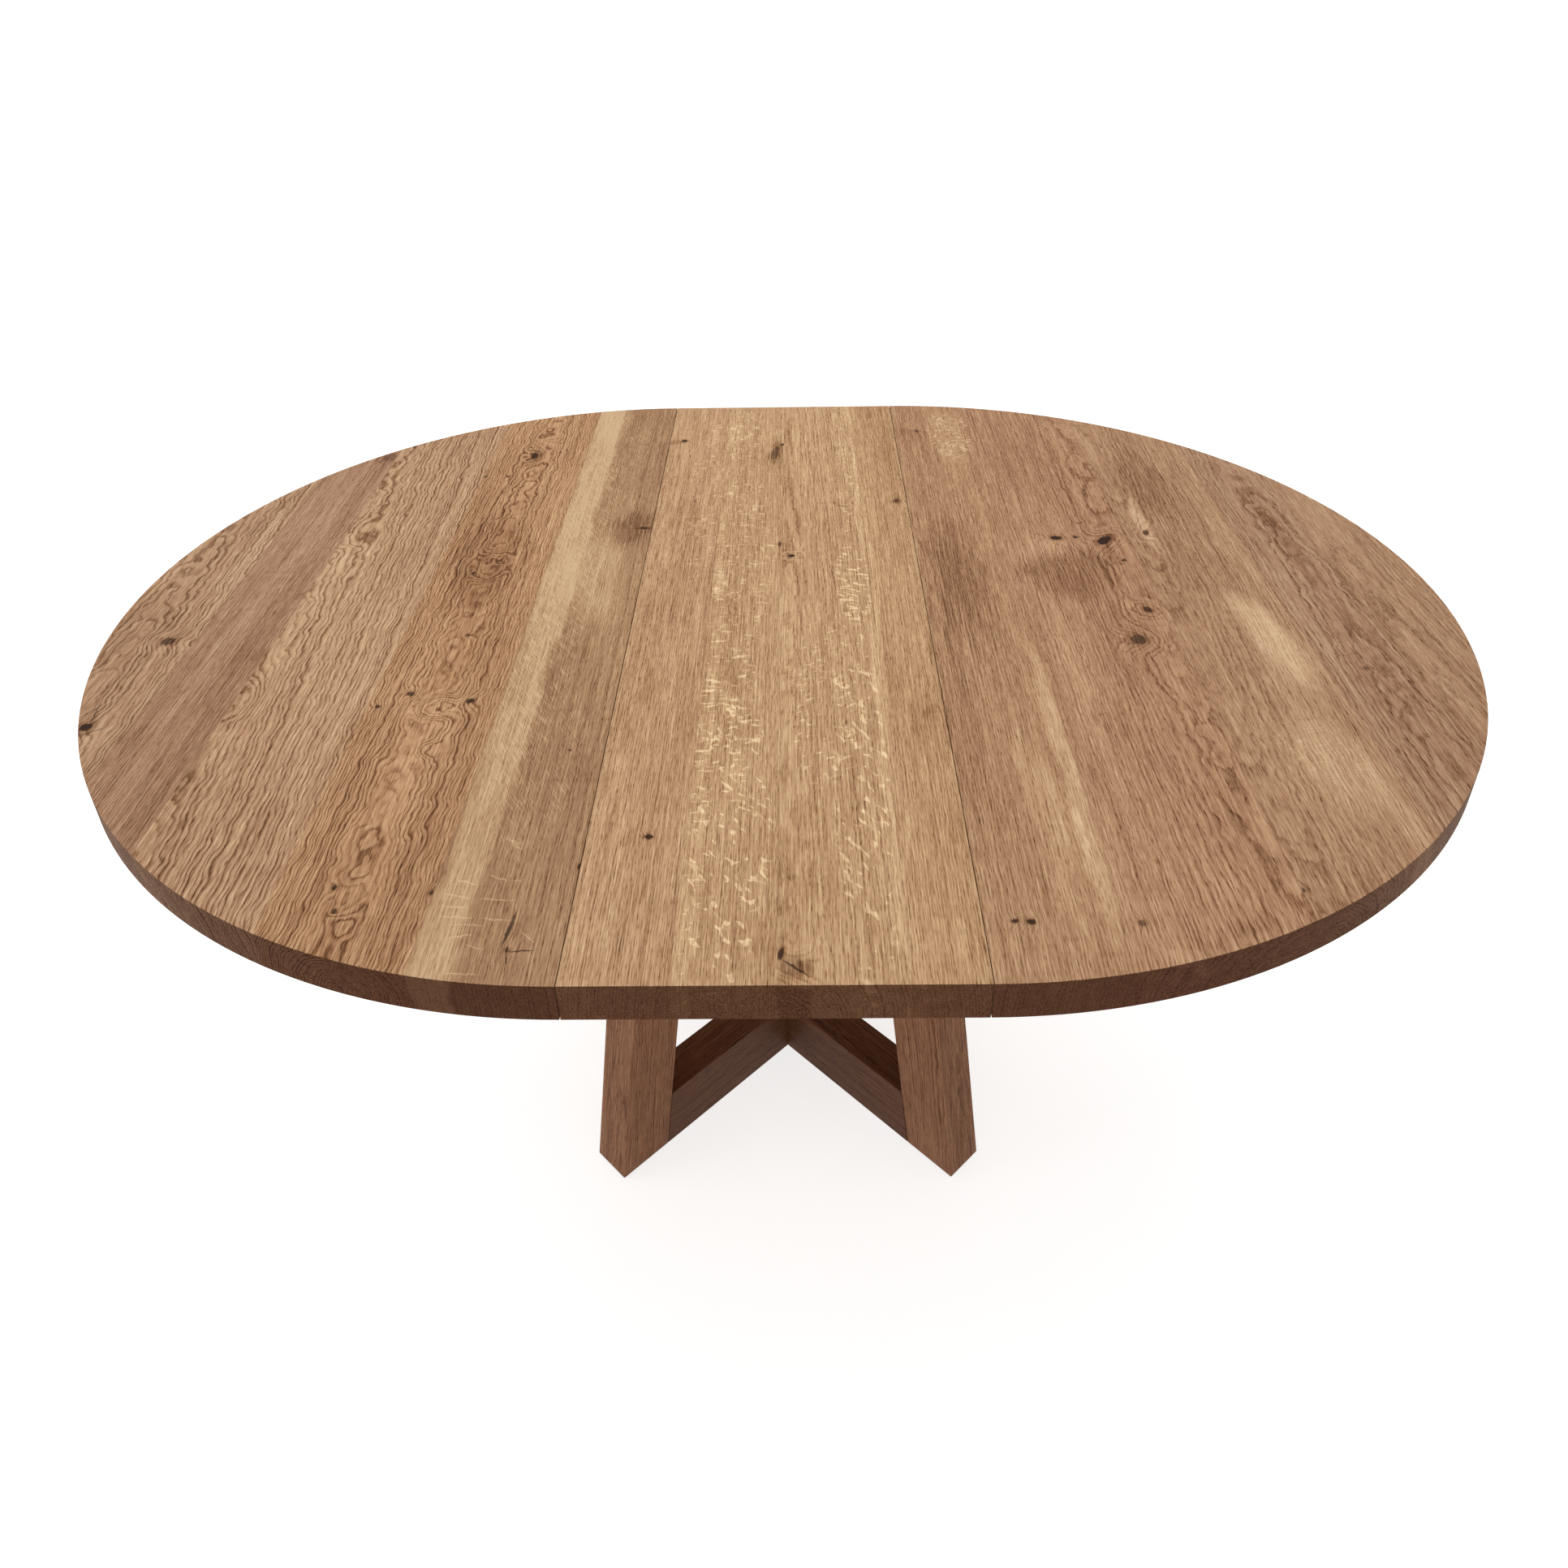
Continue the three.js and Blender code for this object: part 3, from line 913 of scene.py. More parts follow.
def make_piece(node: str, easing: Easing, material: bpy.types.Material) -> bpy.types.Object:
    """Makes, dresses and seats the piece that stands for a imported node.

    Args:
        node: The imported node.
        easing: How its edges are broken.
        material: Its finish.

    Returns:
        The piece.
    """
    piece = eased_copy(node, easing)
    dress(piece, BODY_OF[node], material)
    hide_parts(node)
    return piece


# ------------------------------------------------------------------------------------ the top


TOP_SEAT = Seat(origin=(0.0, 0.0, 0.75))
# How strongly painted shade darkens the upright edge of the top.
TOP_PAINTED_UPRIGHT_SHADE = 0.65


def top_board(name: str, tone: Triple, cut: Cut, **features: tuple) -> Oak:
    """States one board of the top.

    Args:
        name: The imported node.
        tone: Its middle colour.
        cut: How it was sawn.
        **features: Its knots, patches, cracks, flecks and rays.

    Returns:
        Its finish.
    """
    return Oak(name=f"oak_{name}", tone=tone, cut=cut, seat=TOP_SEAT, painted_upright_shade=TOP_PAINTED_UPRIGHT_SHADE, **features)


def left_boards() -> tuple[Oak, ...]:
    """States the five boards of the left half, from its round end inwards."""
    return (
        top_board(
            "left_board_1", (166, 130, 102),
            Cut(-735, 38, ring=4.6, taper=0.03, sway=12, ripple=5.5, line=0.28, seed=3),
            knots=(
                Knot(-692, -92, 8, 0.75, 1.0, 20, 1.3, 4.5), Knot(-705, -255, 7, 1.0, 1.1, 30, 1.2, 4.0),
            ),
            cracks=(
                Line(-689, -88, 13, 50, 0.9), Line(-706, -236, 26, 12, 0.8),
                Line(-694, -262, 20, -52, 0.7), Line(-712, -226, 20, -24, 0.7),
            ),
            patches=(
                Patch(-672, 120, 16, 200, 0.1), Patch(-690, -290, 22, 70, 0.08),
                Patch(-752, -60, 22, 120, -0.06),
            ),
        ),
        top_board(
            "left_board_2", (159, 122, 96),
            Cut(-420, 70, ring=2.7, taper=0.006, sway=8, ripple=1.4, line=0.17, seed=11),
            knots=(Knot(-581, 416, 11, 0.35, 1.3, 0, 1.0, 2.8),),
            patches=(
                Patch(-588, 60, 18, 700, -0.06), Patch(-622, -40, 7, 500, 0.08),
                Patch(-646, -120, 12, 300, -0.04),
            ),
        ),
        top_board(
            "left_board_3", (173, 136, 106),
            Cut(-577, 54, ring=4.2, taper=0.05, sway=14, ripple=5.0, line=0.33, seed=5),
            knots=(
                Knot(-566, -212, 20, 0.0, 1.6, 0, -0.5, 1.9), Knot(-560, 175, 16, 0.0, 2.2, 0, 0.5, 2.0),
            ),
            patches=(
                Patch(-556, 10, 14, 260, 0.08), Patch(-552, -300, 12, 60, 0.1),
                Patch(-440, 200, 20, 300, 0.05),
            ),
        ),
        top_board(
            "left_board_4", (171, 131, 97),
            Cut(-360, 38, ring=3.0, taper=0.01, sway=12, ripple=5.2, line=0.33, seed=17),
            knots=(
                Knot(-366, 416, 5, 0.9, 2.4, 4, 1.8, 4.0), Knot(-424, 345, 2.6, 0.8),
                Knot(-391, 345, 2.8, 0.6), Knot(-360, 79, 17, 0.0, 2.0, 0, 0.9, 1.7),
                Knot(-379, 60, 1.8, 0.7), Knot(-353, -85, 2.2, 0.8),
                Knot(-388, -199, 4.0, 0.85, 1.2, 30, 1.2, 4.0),
                Knot(-416, -223, 2.8, 0.9, 1.0, 0, 1.2, 5.0),
                Knot(-322, -214, 4.0, 0.95, 1.2, -20, 1.4, 5.0),
                Knot(-356, -225, 18, 0.0, 1.1, 0, 0.8, 1.6), Knot(-345, -296, 9, 0.0, 1.2, 0, 0.8, 1.8),
                Knot(-376, -489, 2.8, 0.9, 1.2, 0, 1.2, 4.0), Knot(-367, -517, 2.2, 0.8),
                Knot(-358, -503, 11, 0.0, 1.8, 0, 0.7, 1.8), Knot(-291, -496, 3.2, 0.8, 1.0, 0, 1.4, 5.0),
            ),
            cracks=(Line(-366, 416, 14, 3, 1.2), Line(-387, -199, 8, 62, 0.7)),
            patches=(
                Patch(-366, 416, 14, 55, -0.1), Patch(-370, 110, 60, 170, -0.14),
                Patch(-345, -340, 40, 170, 0.05), Patch(-352, -215, 45, 26, 0.07),
                Patch(-410, 300, 18, 260, -0.03),
            ),
        ),
        top_board(
            "left_board_5", (158, 121, 90),
            Cut(-480, 36, ring=3.1, taper=0.004, sway=6, ripple=1.4, line=0.12, seed=23),
            knots=(
                Knot(-180, 178, 3.0, 0.95, 2.6, 90, 2.2, 9.0), Knot(-204, -299, 1.6, 0.7),
                Knot(-214, -562, 2.6, 0.6, 1.2, 20, 2.4, 8.0), Knot(-170, -466, 2.6, 0.9),
                Knot(-246, -380, 9, 0.0, 0.5, 0, 0.6, 3.0),
            ),
            cracks=(
                Line(-217, -538, 25, -8, 2.0), Line(-203, -563, 13, -86, 1.0),
                Line(-213, -572, 9, 8, 0.9),
            ),
            patches=(
                Patch(-271, 0, 22, 2600, 0.28, 0, 0.88), Patch(-262, 560, 34, 120, 0.13),
                Patch(-228, 60, 46, 130, 0.2), Patch(-198, 175, 28, 60, -0.2),
                Patch(-186, 340, 22, 260, -0.03), Patch(-200, -20, 26, 60, 0.08),
            ),
            flecks=(
                Flecks(-262, 30, 46, 470, 1.3, 24, 30, FleckKind.STROKES, 0.9, 0.46),
                Flecks(-228, -330, 44, 150, 1.4, 26, 30, FleckKind.STROKES, 0.8, 0.42),
                Flecks(-240, 420, 50, 170, 1.4, 22, 36, FleckKind.STROKES, 0.8, 0.42),
            ),
            rays=(
                Line(-264, -484, 14, 71, 1.3), Line(-238, -479, 12, 68, 1.2), Line(-221, -482, 8, -81),
                Line(-269, -500, 17, 76, 1.3), Line(-234, -505, 20, 86, 1.2),
                Line(-268, -513, 15, 81, 1.1), Line(-262, -525, 18, 86, 1.3),
                Line(-230, -528, 16, 83, 1.2), Line(-254, -534, 21, 90, 0.9),
                Line(-257, -547, 15, -79, 1.2), Line(-234, -432, 12, 63, 1.6),
                Line(-242, -558, 10, 74), Line(-245, -587, 18, 88, 1.1), Line(-200, -549, 12, 51),
                Line(-228, -441, 8, 60),
            ),
        ),
    )


def leaf_boards() -> tuple[Oak, ...]:
    """States the four boards of the loose leaf, from left to right."""
    return (
        top_board(
            "leaf_board_1", (182, 144, 111),
            Cut(90, 40, ring=2.5, taper=0.004, sway=5, ripple=1.0, line=0.12, seed=31),
            knots=(
                Knot(-148, 466, 4.5, 0.9, 1.0, 0, 1.2, 3.0),
                Knot(-114, -427, 4.0, 0.95, 0.8, 10, 1.5, 5.0),
            ),
            patches=(
                Patch(-160, 462, 20, 16, -0.16), Patch(-128, -436, 20, 16, -0.07),
                Patch(-95, 200, 12, 380, 0.05), Patch(-120, 230, 34, 90, -0.05),
            ),
            flecks=(Flecks(-104, 300, 30, 320, 10, 4, 8, FleckKind.CURLS, 0.8, 0.32),),
        ),
        top_board(
            "leaf_board_2", (184, 147, 112),
            Cut(230, 30, ring=2.3, taper=0.003, sway=5, ripple=1.1, line=0.1, seed=37),
            knots=(
                Knot(-11, 418, 6, 0.5, 4.6, -8, 0.8, 1.8), Knot(0, 448, 5, 0.8, 0.8, 0, 1.0, 2.0),
                Knot(-2, 130, 2.4, 0.8, 2.0), Knot(-34, -2, 18, 0.0, 1.1, 0, 0.5, 1.6),
            ),
            patches=(
                Patch(-74, 0, 9, 2400, 0.07, 0, 0.5), Patch(-6, 418, 9, 60, -0.12),
                Patch(-40, -160, 26, 50, -0.05),
            ),
            flecks=(
                Flecks(-42, -400, 44, 250, 6, 12, 32, FleckKind.CURLS, 1.1, 0.34),
                Flecks(-50, -250, 40, 160, 12, 5, 10, FleckKind.CURLS, 1.0, 0.33),
                Flecks(-70, -110, 14, 600, 13, 4, 4, FleckKind.CURLS, 1.0, 0.3),
                Flecks(-45, 120, 44, 300, 10, 4, -8, FleckKind.CURLS, 0.9, 0.33),
                Flecks(-60, 480, 34, 120, 9, 4, 6, FleckKind.CURLS, 0.9, 0.37),
            ),
        ),
        top_board(
            "leaf_board_3", (184, 147, 112),
            Cut(8, 34, ring=3.3, taper=0.02, sway=4, ripple=1.6, line=0.13, seed=41),
            knots=(
                Knot(13, 98, 5.0, 1.0, 0.9, 10, 1.3, 3.6), Knot(15, -581, 9, 0.22, 1.2, 50, 1.0, 2.8),
                Knot(5, -568, 2.6, 0.9, 2.4, -6, 1.4, 5.0),
            ),
            cracks=(Line(16, -582, 17, 50, 1.6),),
            patches=(
                Patch(104, 0, 5, 2400, 0.12, 0, 0.5), Patch(68, 255, 30, 7, -0.09),
                Patch(18, -588, 20, 15, -0.12), Patch(20, -440, 12, 10, -0.08),
                Patch(8, 450, 7, 190, -0.08),
            ),
            flecks=(
                Flecks(88, 30, 24, 110, 13, 5, -16, FleckKind.CURLS, 1.2, 0.42),
                Flecks(80, -330, 32, 330, 6, 14, 26, FleckKind.CURLS, 1.0, 0.36),
                Flecks(50, -200, 50, 190, 11, 4, 26, FleckKind.CURLS, 0.8, 0.31),
                Flecks(92, 380, 20, 280, 8, 4, -14, FleckKind.CURLS, 0.8, 0.36),
            ),
        ),
        top_board(
            "leaf_board_4", (180, 142, 107),
            Cut(-60, 40, ring=2.8, taper=0.006, sway=6, ripple=1.4, line=0.14, seed=43),
            knots=(Knot(155, 251, 5, 0.6, 1.2, 0, 1.6, 4.5),),
            patches=(
                Patch(160, 256, 12, 18, -0.1), Patch(158, -229, 14, 10, -0.12),
                Patch(112, 0, 6, 2400, 0.08), Patch(150, -330, 18, 100, 0.05),
            ),
        ),
    )


def right_boards() -> tuple[Oak, ...]:
    """States the five boards of the right half, from the leaf to its round end."""
    return (
        top_board(
            "right_board_1", (168, 129, 98),
            Cut(440, 46, ring=3.1, taper=0.012, sway=8, ripple=1.8, line=0.14, seed=53),
            knots=(
                Knot(204, 495, 5, 0.45, 1.0, 0, 1.4, 4.0), Knot(196, -533, 3.6, 0.9, 0.8, 0, 1.2, 4.0),
                Knot(209, -535, 4.0, 0.95, 0.9, 20, 1.2, 4.0),
            ),
            patches=(
                Patch(215, 40, 52, 280, -0.17, 0, 0.3), Patch(276, -330, 13, 290, 0.24),
                Patch(252, -430, 14, 170, 0.14), Patch(236, -330, 6, 150, 0.14),
                Patch(200, 480, 24, 26, -0.08), Patch(250, 470, 30, 150, 0.06),
                Patch(190, -250, 20, 240, -0.03),
            ),
            flecks=(
                Flecks(254, 480, 38, 110, 9, 4, 30, FleckKind.CURLS, 0.9, 0.42),
                Flecks(262, 300, 30, 130, 2.0, 20, -24, FleckKind.STROKES, 0.6, 0.4),
                Flecks(255, -480, 30, 130, 2.2, 16, 10, FleckKind.STROKES, 0.5, 0.4),
            ),
        ),
        top_board(
            "right_board_2", (169, 129, 99),
            Cut(432, 62, ring=3.5, taper=-0.014, sway=12, ripple=2.6, line=0.17, seed=59),
            knots=(
                Knot(352, 139, 8.0, 1.0, 0.8, 0, 1.3, 4.0), Knot(377, 141, 3.4, 0.8, 1.1, 0, 1.4, 4.0),
                Knot(412, 131, 7.5, 1.0, 2.0, -40, 1.3, 4.0), Knot(424, 78, 2.4, 0.9, 1.1, 0, 1.8, 6.0),
                Knot(390, 181, 2.6, 0.7, 0.6), Knot(425, -41, 5, 0.7, 1.4, 10, 1.6, 5.0),
                Knot(399, -105, 10.5, 0.72, 0.95, 60, 1.4, 4.0), Knot(298, -536, 3.4, 0.6),
            ),
            cracks=(Line(399, -105, 11, 58, 1.0), Line(402, -104, 9, -24, 0.8)),
            patches=(
                Patch(330, 120, 34, 50, 0.08), Patch(352, 40, 70, 80, -0.16),
                Patch(400, 90, 34, 44, -0.09), Patch(350, 420, 80, 220, -0.06),
                Patch(318, -250, 26, 240, 0.05), Patch(376, -536, 50, 14, -0.08),
                Patch(330, -560, 30, 12, 0.1),
            ),
            flecks=(Flecks(330, -400, 40, 190, 2.0, 16, 0, FleckKind.STROKES, 0.35, 0.4),),
        ),
        top_board(
            "right_board_3", (168, 130, 100),
            Cut(458, 42, ring=3.7, taper=-0.035, sway=9, ripple=2.8, line=0.15, seed=61),
            knots=(Knot(469, 150, 4, 0.8, 2.0, -18, 1.6, 5.0), Knot(441, -499, 3.0, 0.85)),
            patches=(
                Patch(474, 175, 11, 90, 0.28), Patch(548, -105, 32, 130, 0.27, 8),
                Patch(500, 300, 46, 150, -0.08), Patch(520, 40, 60, 80, -0.04),
                Patch(538, -330, 46, 100, 0.14), Patch(565, -420, 14, 140, 0.1),
                Patch(470, -420, 30, 120, 0.04),
            ),
            flecks=(
                Flecks(528, -305, 50, 62, 15, 2.2, 14, FleckKind.STROKES, 0.35, 0.44),
                Flecks(556, -100, 24, 60, 2.0, 12, -20, FleckKind.STROKES, 0.5, 0.42),
            ),
        ),
        top_board(
            "right_board_4", (162, 125, 99),
            Cut(640, 58, ring=3.4, taper=0.02, sway=9, ripple=3.0, line=0.19, seed=67),
            knots=(Knot(626, -167, 3.4, 0.5, 1.4),),
            patches=(
                Patch(640, 60, 14, 330, -0.08), Patch(596, -160, 10, 240, 0.06),
                Patch(600, 160, 10, 150, -0.04),
            ),
        ),
        top_board(
            "right_board_5", (163, 126, 98),
            Cut(697, 46, ring=4.2, taper=0.022, sway=8, ripple=2.0, line=0.1, seed=71),
            patches=(Patch(696, -180, 16, 110, 0.06), Patch(735, 60, 26, 200, -0.02)),
        ),
    )


@dataclass(frozen=True)
class TableTop:
    """Fourteen oak boards in three panels: two half-round ends and the loose leaf between them.

    The joints are where the boards of each panel are glued, in millimetres across the table.
    """

    left_joints: tuple[float, ...] = (-661, -570, -427, -290)
    leaf_joints: tuple[float, ...] = (-83, 2, 107)
    right_joints: tuple[float, ...] = (285, 441, 584, 673)
    edge: float = 0.6
    batten_edge: float = 1.2

    def build(self) -> None:
        """Makes the boards and the battens that hold them flat."""
        panels = ((left_boards(), self.left_joints), (leaf_boards(), self.leaf_joints),
                  (right_boards(), self.right_joints))
        for boards, joints in panels:
            easing = Easing(radius=self.edge, keep=joints)
            for oak in boards:
                make_piece(oak.name.removeprefix("oak_"), easing, oak.material())
        self._battens()

    def _battens(self) -> None:
        """Makes the battens, whose grain runs across the table."""
        seat = Seat(origin=(0.0, 0.0, 0.66), across=(0.0, 1.0, 0.0), along=(1.0, 0.0, 0.0))
        cut = Cut(40, 90, ring=3.2, taper=0.012, sway=8, ripple=1.6, line=0.16, seed=79)
        material = Oak("oak_batten", (158, 122, 90), cut, seat=seat, roughness=0.62).material()
        easing = Easing(radius=self.batten_edge)
        for panel in ("left", "leaf", "right"):
            for side in ("front", "back"):
                make_piece(f"{panel}_batten_{side}", easing, material)


# ------------------------------------------------------------------------------------ the base


class Corner(Enum):
    """The four corners of the base, each with the way it points from the middle."""

    FRONT_LEFT = (-1, -1)
    FRONT_RIGHT = (1, -1)
    BACK_LEFT = (-1, 1)
    BACK_RIGHT = (1, 1)

    def outward(self) -> Vector:
        """The level direction from the middle to this corner."""
        return Vector((*self.value, 0.0)).normalized()


@dataclass(frozen=True)
class CrossedBase:
    """Four leaning legs joined by two pairs of crossed rails, on felt pads, under a steel plate.

    lean is how far a leg goes inwards for each metre it rises, reach how far out its foot's middle
    stands, and the rails lie at two heights.
    """

    lean: float = 0.163
    reach: float = 0.297
    leg_edge: float = 1.0
    rail_edge: float = 0.9
    plate_edge: float = 0.5
    felt_edge: float = 0.4
    levels: tuple[tuple[str, float], ...] = (("bottom", 0.048), ("top", 0.631))

    def build(self) -> None:
        """Makes the legs, rails, pads and plate."""
        for number, corner in enumerate(Corner):
            name = corner.name.lower()
            oak = self._leg_oak(corner, name, number)
            make_piece(f"leg_{name}", Easing(radius=self.leg_edge), oak.material())
        for letter, turn in (("a", 1.0), ("b", -1.0)):
            for level, height in self.levels:
                name = f"{level}_rail_{letter}"
                oak = self._rail_oak(name, turn, height)
                make_piece(name, Easing(radius=self.rail_edge), oak.material())
        felt = Felt().material()
        for corner in Corner:
            make_piece(f"foot_pad_{corner.name.lower()}", Easing(radius=self.felt_edge), felt)
        coat = Coat("black_powder_coat", (30, 31, 33), (44, 45, 47), 0.62, 0.0, 0.45, 30.0, 0.00012)
        make_piece("mounting_plate", Easing(radius=self.plate_edge), coat.material())

    def _leg_oak(self, corner: Corner, name: str, number: int) -> Oak:
        """States the oak of one leg, its grain running up the leg.

        Args:
            corner: Which leg.
            name: Its corner in words.
            number: Its place in the order, which varies the grain.

        Returns:
            The finish.
        """
        outward = corner.outward()
        along = (Vector((0.0, 0.0, 1.0)) - outward * self.lean).normalized()
        across = Vector((-outward.y, outward.x, 0.0))
        seat = Seat(origin=tuple(outward * self.reach), across=tuple(across), along=tuple(along))
        cut = Cut(18 - 12 * number, -58 + 9 * number, ring=3.4 + 0.3 * number, taper=0.02,
                  sway=7, ripple=2.0, line=0.2, seed=83 + 13 * number)
        ray = Flecks(0, 120, 30, 170, 3.4, 9, 14, FleckKind.STROKES, 0.5, 0.38)
        return Oak(f"oak_leg_{name}", (139, 96, 69), cut, seat=seat, flecks=(ray,),
                   mottle=0.2, gloss=0.07)

    def _rail_oak(self, name: str, turn: float, height: float) -> Oak:
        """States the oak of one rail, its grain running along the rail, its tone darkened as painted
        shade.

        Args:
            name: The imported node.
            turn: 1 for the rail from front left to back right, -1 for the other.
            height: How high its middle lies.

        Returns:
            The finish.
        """
        along = Vector((1.0, turn, 0.0)).normalized()
        seat = Seat(origin=(0.0, 0.0, height), across=(0.0, 0.0, 1.0), along=tuple(along))
        cut = Cut(120 * turn, 70, ring=3.0, taper=0.01, sway=8, ripple=1.6, line=0.17, seed=41 + 9 * turn)
        # The rails' tone is darker than the legs': painted shade for the shadow under the top, against
        # the light the glowing floor gives them.
        return Oak(f"oak_{name}", (99, 62, 41), cut, seat=seat, mottle=0.2, gloss=0.1)


# ------------------------------------------------------------------------------------ underneath


@dataclass(frozen=True)
class Runners:
    """Grooved fixed runners with the tongued slides of both halves, in waxed beech."""

    edge: float = 0.35

    def build(self) -> None:
        """Makes the runners and slides."""
        beech = Beech().material()
        for side in ("front", "back"):
            for name in ("fixed_runner", "left_slide", "right_slide"):
                make_piece(f"{name}_{side}", Easing(radius=self.edge), beech)


@dataclass(frozen=True)
class Equaliser:
    """A pinion on an axle between two toothed bars, which makes the halves move together."""

    axle_smooth: float = 25.0
    edge: float = 0.12

    def build(self) -> None:
        """Makes the pinion, axle and bars."""
        nylon = Coat("nylon", (216, 213, 203), (202, 198, 186), 0.46, 0.0, 0.9, 40.0, 0.00002).material()
        gears = Easing(radius=self.edge, segments=1, bevel_from=60.0, smooth_to=20.0)
        make_piece("equaliser_pinion", gears, nylon)
        for name in ("left_rack", "right_rack"):
            make_piece(name, gears, nylon)
        axle = Easing(radius=0.3, bevel_from=60.0, smooth_to=self.axle_smooth)
        make_piece("pinion_axle", axle, zinc())


def zinc() -> bpy.types.Material:
    """Gives the zinc-plated steel, made once and shared."""
    known = bpy.data.materials.get("zinc_plate")
    coat = Coat("zinc_plate", (176, 178, 180), (148, 150, 154), 0.36, 0.9, 0.5, 9.0, 0.00002, 5.0)
    return known or coat.material()


@dataclass(frozen=True)
class SeamFittings:
    """Flat rest plates under the seams, and hooked latches with their posts."""

    edge: float = 0.35
    post_smooth: float = 25.0

    def build(self) -> None:
        """Makes the plates, posts and levers."""
        steel = zinc()
        turned = Easing(radius=self.edge, bevel_from=60.0, smooth_to=self.post_smooth)
        flat = Easing(radius=self.edge)
        for hand in ("left", "right"):
            for side in ("front", "back"):
                make_piece(f"{hand}_rest_plate_{side}", flat, steel)
                make_piece(f"{hand}_latch_pivot_{side}", turned, steel)
                make_piece(f"{hand}_latch_keeper_{side}", turned, steel)
                make_piece(f"{hand}_latch_lever_{side}", turned, steel)


# ------------------------------------------------------------------------------------ screws


@dataclass(frozen=True)
class ScrewPoint:
    """Where one screw's head sits, and whether it faces down and has a washer."""

    place: Triple
    down: bool = True
    washer: bool = False


def in_fixed_order(mesh: bpy.types.Mesh, name: str) -> bpy.types.Mesh:
    """Rebuilds a mesh with its corners and faces in an order that is the same each run.

    Args:
        mesh: The mesh, whose Boolean may store them in any order.
        name: The new mesh's name.

    Returns:
        The same shape.
    """
    corners = [tuple(vertex.co) for vertex in mesh.vertices]
    order = sorted(range(len(corners)), key=corners.__getitem__)
    rank = {old: new for new, old in enumerate(order)}
    faces = []
    for face in mesh.polygons:
        ring = [rank[corner] for corner in face.vertices]
        start = ring.index(min(ring))
        faces.append(ring[start:] + ring[:start])
    made = bpy.data.meshes.new(name)
    made.from_pydata([corners[old] for old in order], [], sorted(faces))
    return made


@dataclass
class Fasteners:
    """Domed screws with cross recesses, laid on their points by one node tree.

    Sizes are in metres. Those through the mounting plate stand over the rails, rail_reaches out
    from the middle each way, and under the runners, runner_line before and behind it.
    """

    head_radius: float = 0.0038
    head_height: float = 0.0017
    recess_length: float = 0.0048
    recess_width: float = 0.0009
    washer_radius: float = 0.0062
    washer_height: float = 0.0008
    rail_reaches: tuple[float, ...] = (0.05, 0.083)
    runner_line: float = 0.13
    smooth_to: float = 35.0
    seed: int = 7
    sockets: dict[str, str] = field(default_factory=dict)

    def build(self) -> None:
        """Makes one mesh of screws for each body that has any."""
        tree = self._tree()
        for body, points in self._points().items():
            self._place(tree, f"screws_{body}", body, points)

    def _points(self) -> dict[str, list[ScrewPoint]]:
        """Works out every screw from the pieces it holds.

        Returns:
            The screws on each body.
        """
        found: dict[str, list[ScrewPoint]] = {"base": [], "left_half": [], "right_half": [], "leaf": []}
        for side in ("front", "back"):
            for panel in ("left", "leaf", "right"):
                batten = f"{panel}_batten_{side}"
                found[BODY_OF[batten]] += self._under(batten, (0.14, 0.5, 0.86), True)
            found["left_half"] += self._under(f"left_slide_{side}", (0.09, 0.37, 0.64))
            found["right_half"] += self._under(f"right_slide_{side}", (0.36, 0.63, 0.91))
            found["left_half"] += self._under(f"left_rest_plate_{side}", (0.14, 0.42))
            found["right_half"] += self._under(f"right_rest_plate_{side}", (0.58, 0.86))
            for hand in ("left", "right"):
                found[f"{hand}_half"] += self._round(f"{hand}_latch_pivot_{side}")
                found["leaf"] += self._round(f"{hand}_latch_keeper_{side}")
        found["left_half"] += self._under("left_rack", (0.04,))
        found["right_half"] += self._under("right_rack", (0.96,))
        low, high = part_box("mounting_plate")
        for x, y in ((x, y) for x in (-1, 1) for y in (-1, 1)):
            for reach in self.rail_reaches:
                found["base"].append(ScrewPoint((x * reach, y * reach, high.z), False))
            found["base"].append(ScrewPoint((x * 0.06, y * self.runner_line, low.z), True, True))
        for y in (-self.runner_line, self.runner_line):
            found["base"].append(ScrewPoint((0.0, y, low.z), True, True))
        return found

    def _under(self, node: str, shares: tuple[float, ...], washer: bool = False) -> list[ScrewPoint]:
        """Puts screws in a row along the underside of a piece.

        Args:
            node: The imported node.
            shares: Where they stand along it, from 0 to 1.
            washer: Whether they have washers.

        Returns:
            The screws.
        """
        low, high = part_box(node)
        middle = (low.y + high.y) / 2
        length = high.x - low.x
        return [ScrewPoint((low.x + length * share, middle, low.z), True, washer) for share in shares]

    def _round(self, node: str, ring: float = 0.0104, flange: float = 0.003) -> list[ScrewPoint]:
        """Puts three screws round a post's flange.

        Args:
            node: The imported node.
            ring: How far they stand from its axis.
            flange: How thick the flange is.

        Returns:
            The screws.
        """
        low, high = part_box(node)
        centre = (low + high) / 2
        level = high.z - flange
        turns = (math.radians(angle) for angle in (90, 210, 330))
        return [ScrewPoint((centre.x + ring * math.cos(turn), centre.y + ring * math.sin(turn), level))
                for turn in turns]

    def _tree(self) -> bpy.types.NodeTree:
        """Builds the node tree that turns points into screws.

        Returns:
            The tree.
        """
        tree = bpy.data.node_groups.new("screws_on_points", "GeometryNodeTree")
        tree.interface.new_socket(name="Geometry", in_out="INPUT", socket_type="NodeSocketGeometry")
        lengths = ("Head Radius", "Head Height", "Recess Length", "Recess Width", "Washer Radius",
                   "Washer Height")
        kinds = [(name, "NodeSocketFloat") for name in lengths]
        for name, kind in (*kinds, ("Seed", "NodeSocketInt"), ("Finish", "NodeSocketMaterial")):
            made = tree.interface.new_socket(name=name, in_out="INPUT", socket_type=kind)
            self.sockets[name] = made.identifier
        tree.interface.new_socket(name="Geometry", in_out="OUTPUT", socket_type="NodeSocketGeometry")

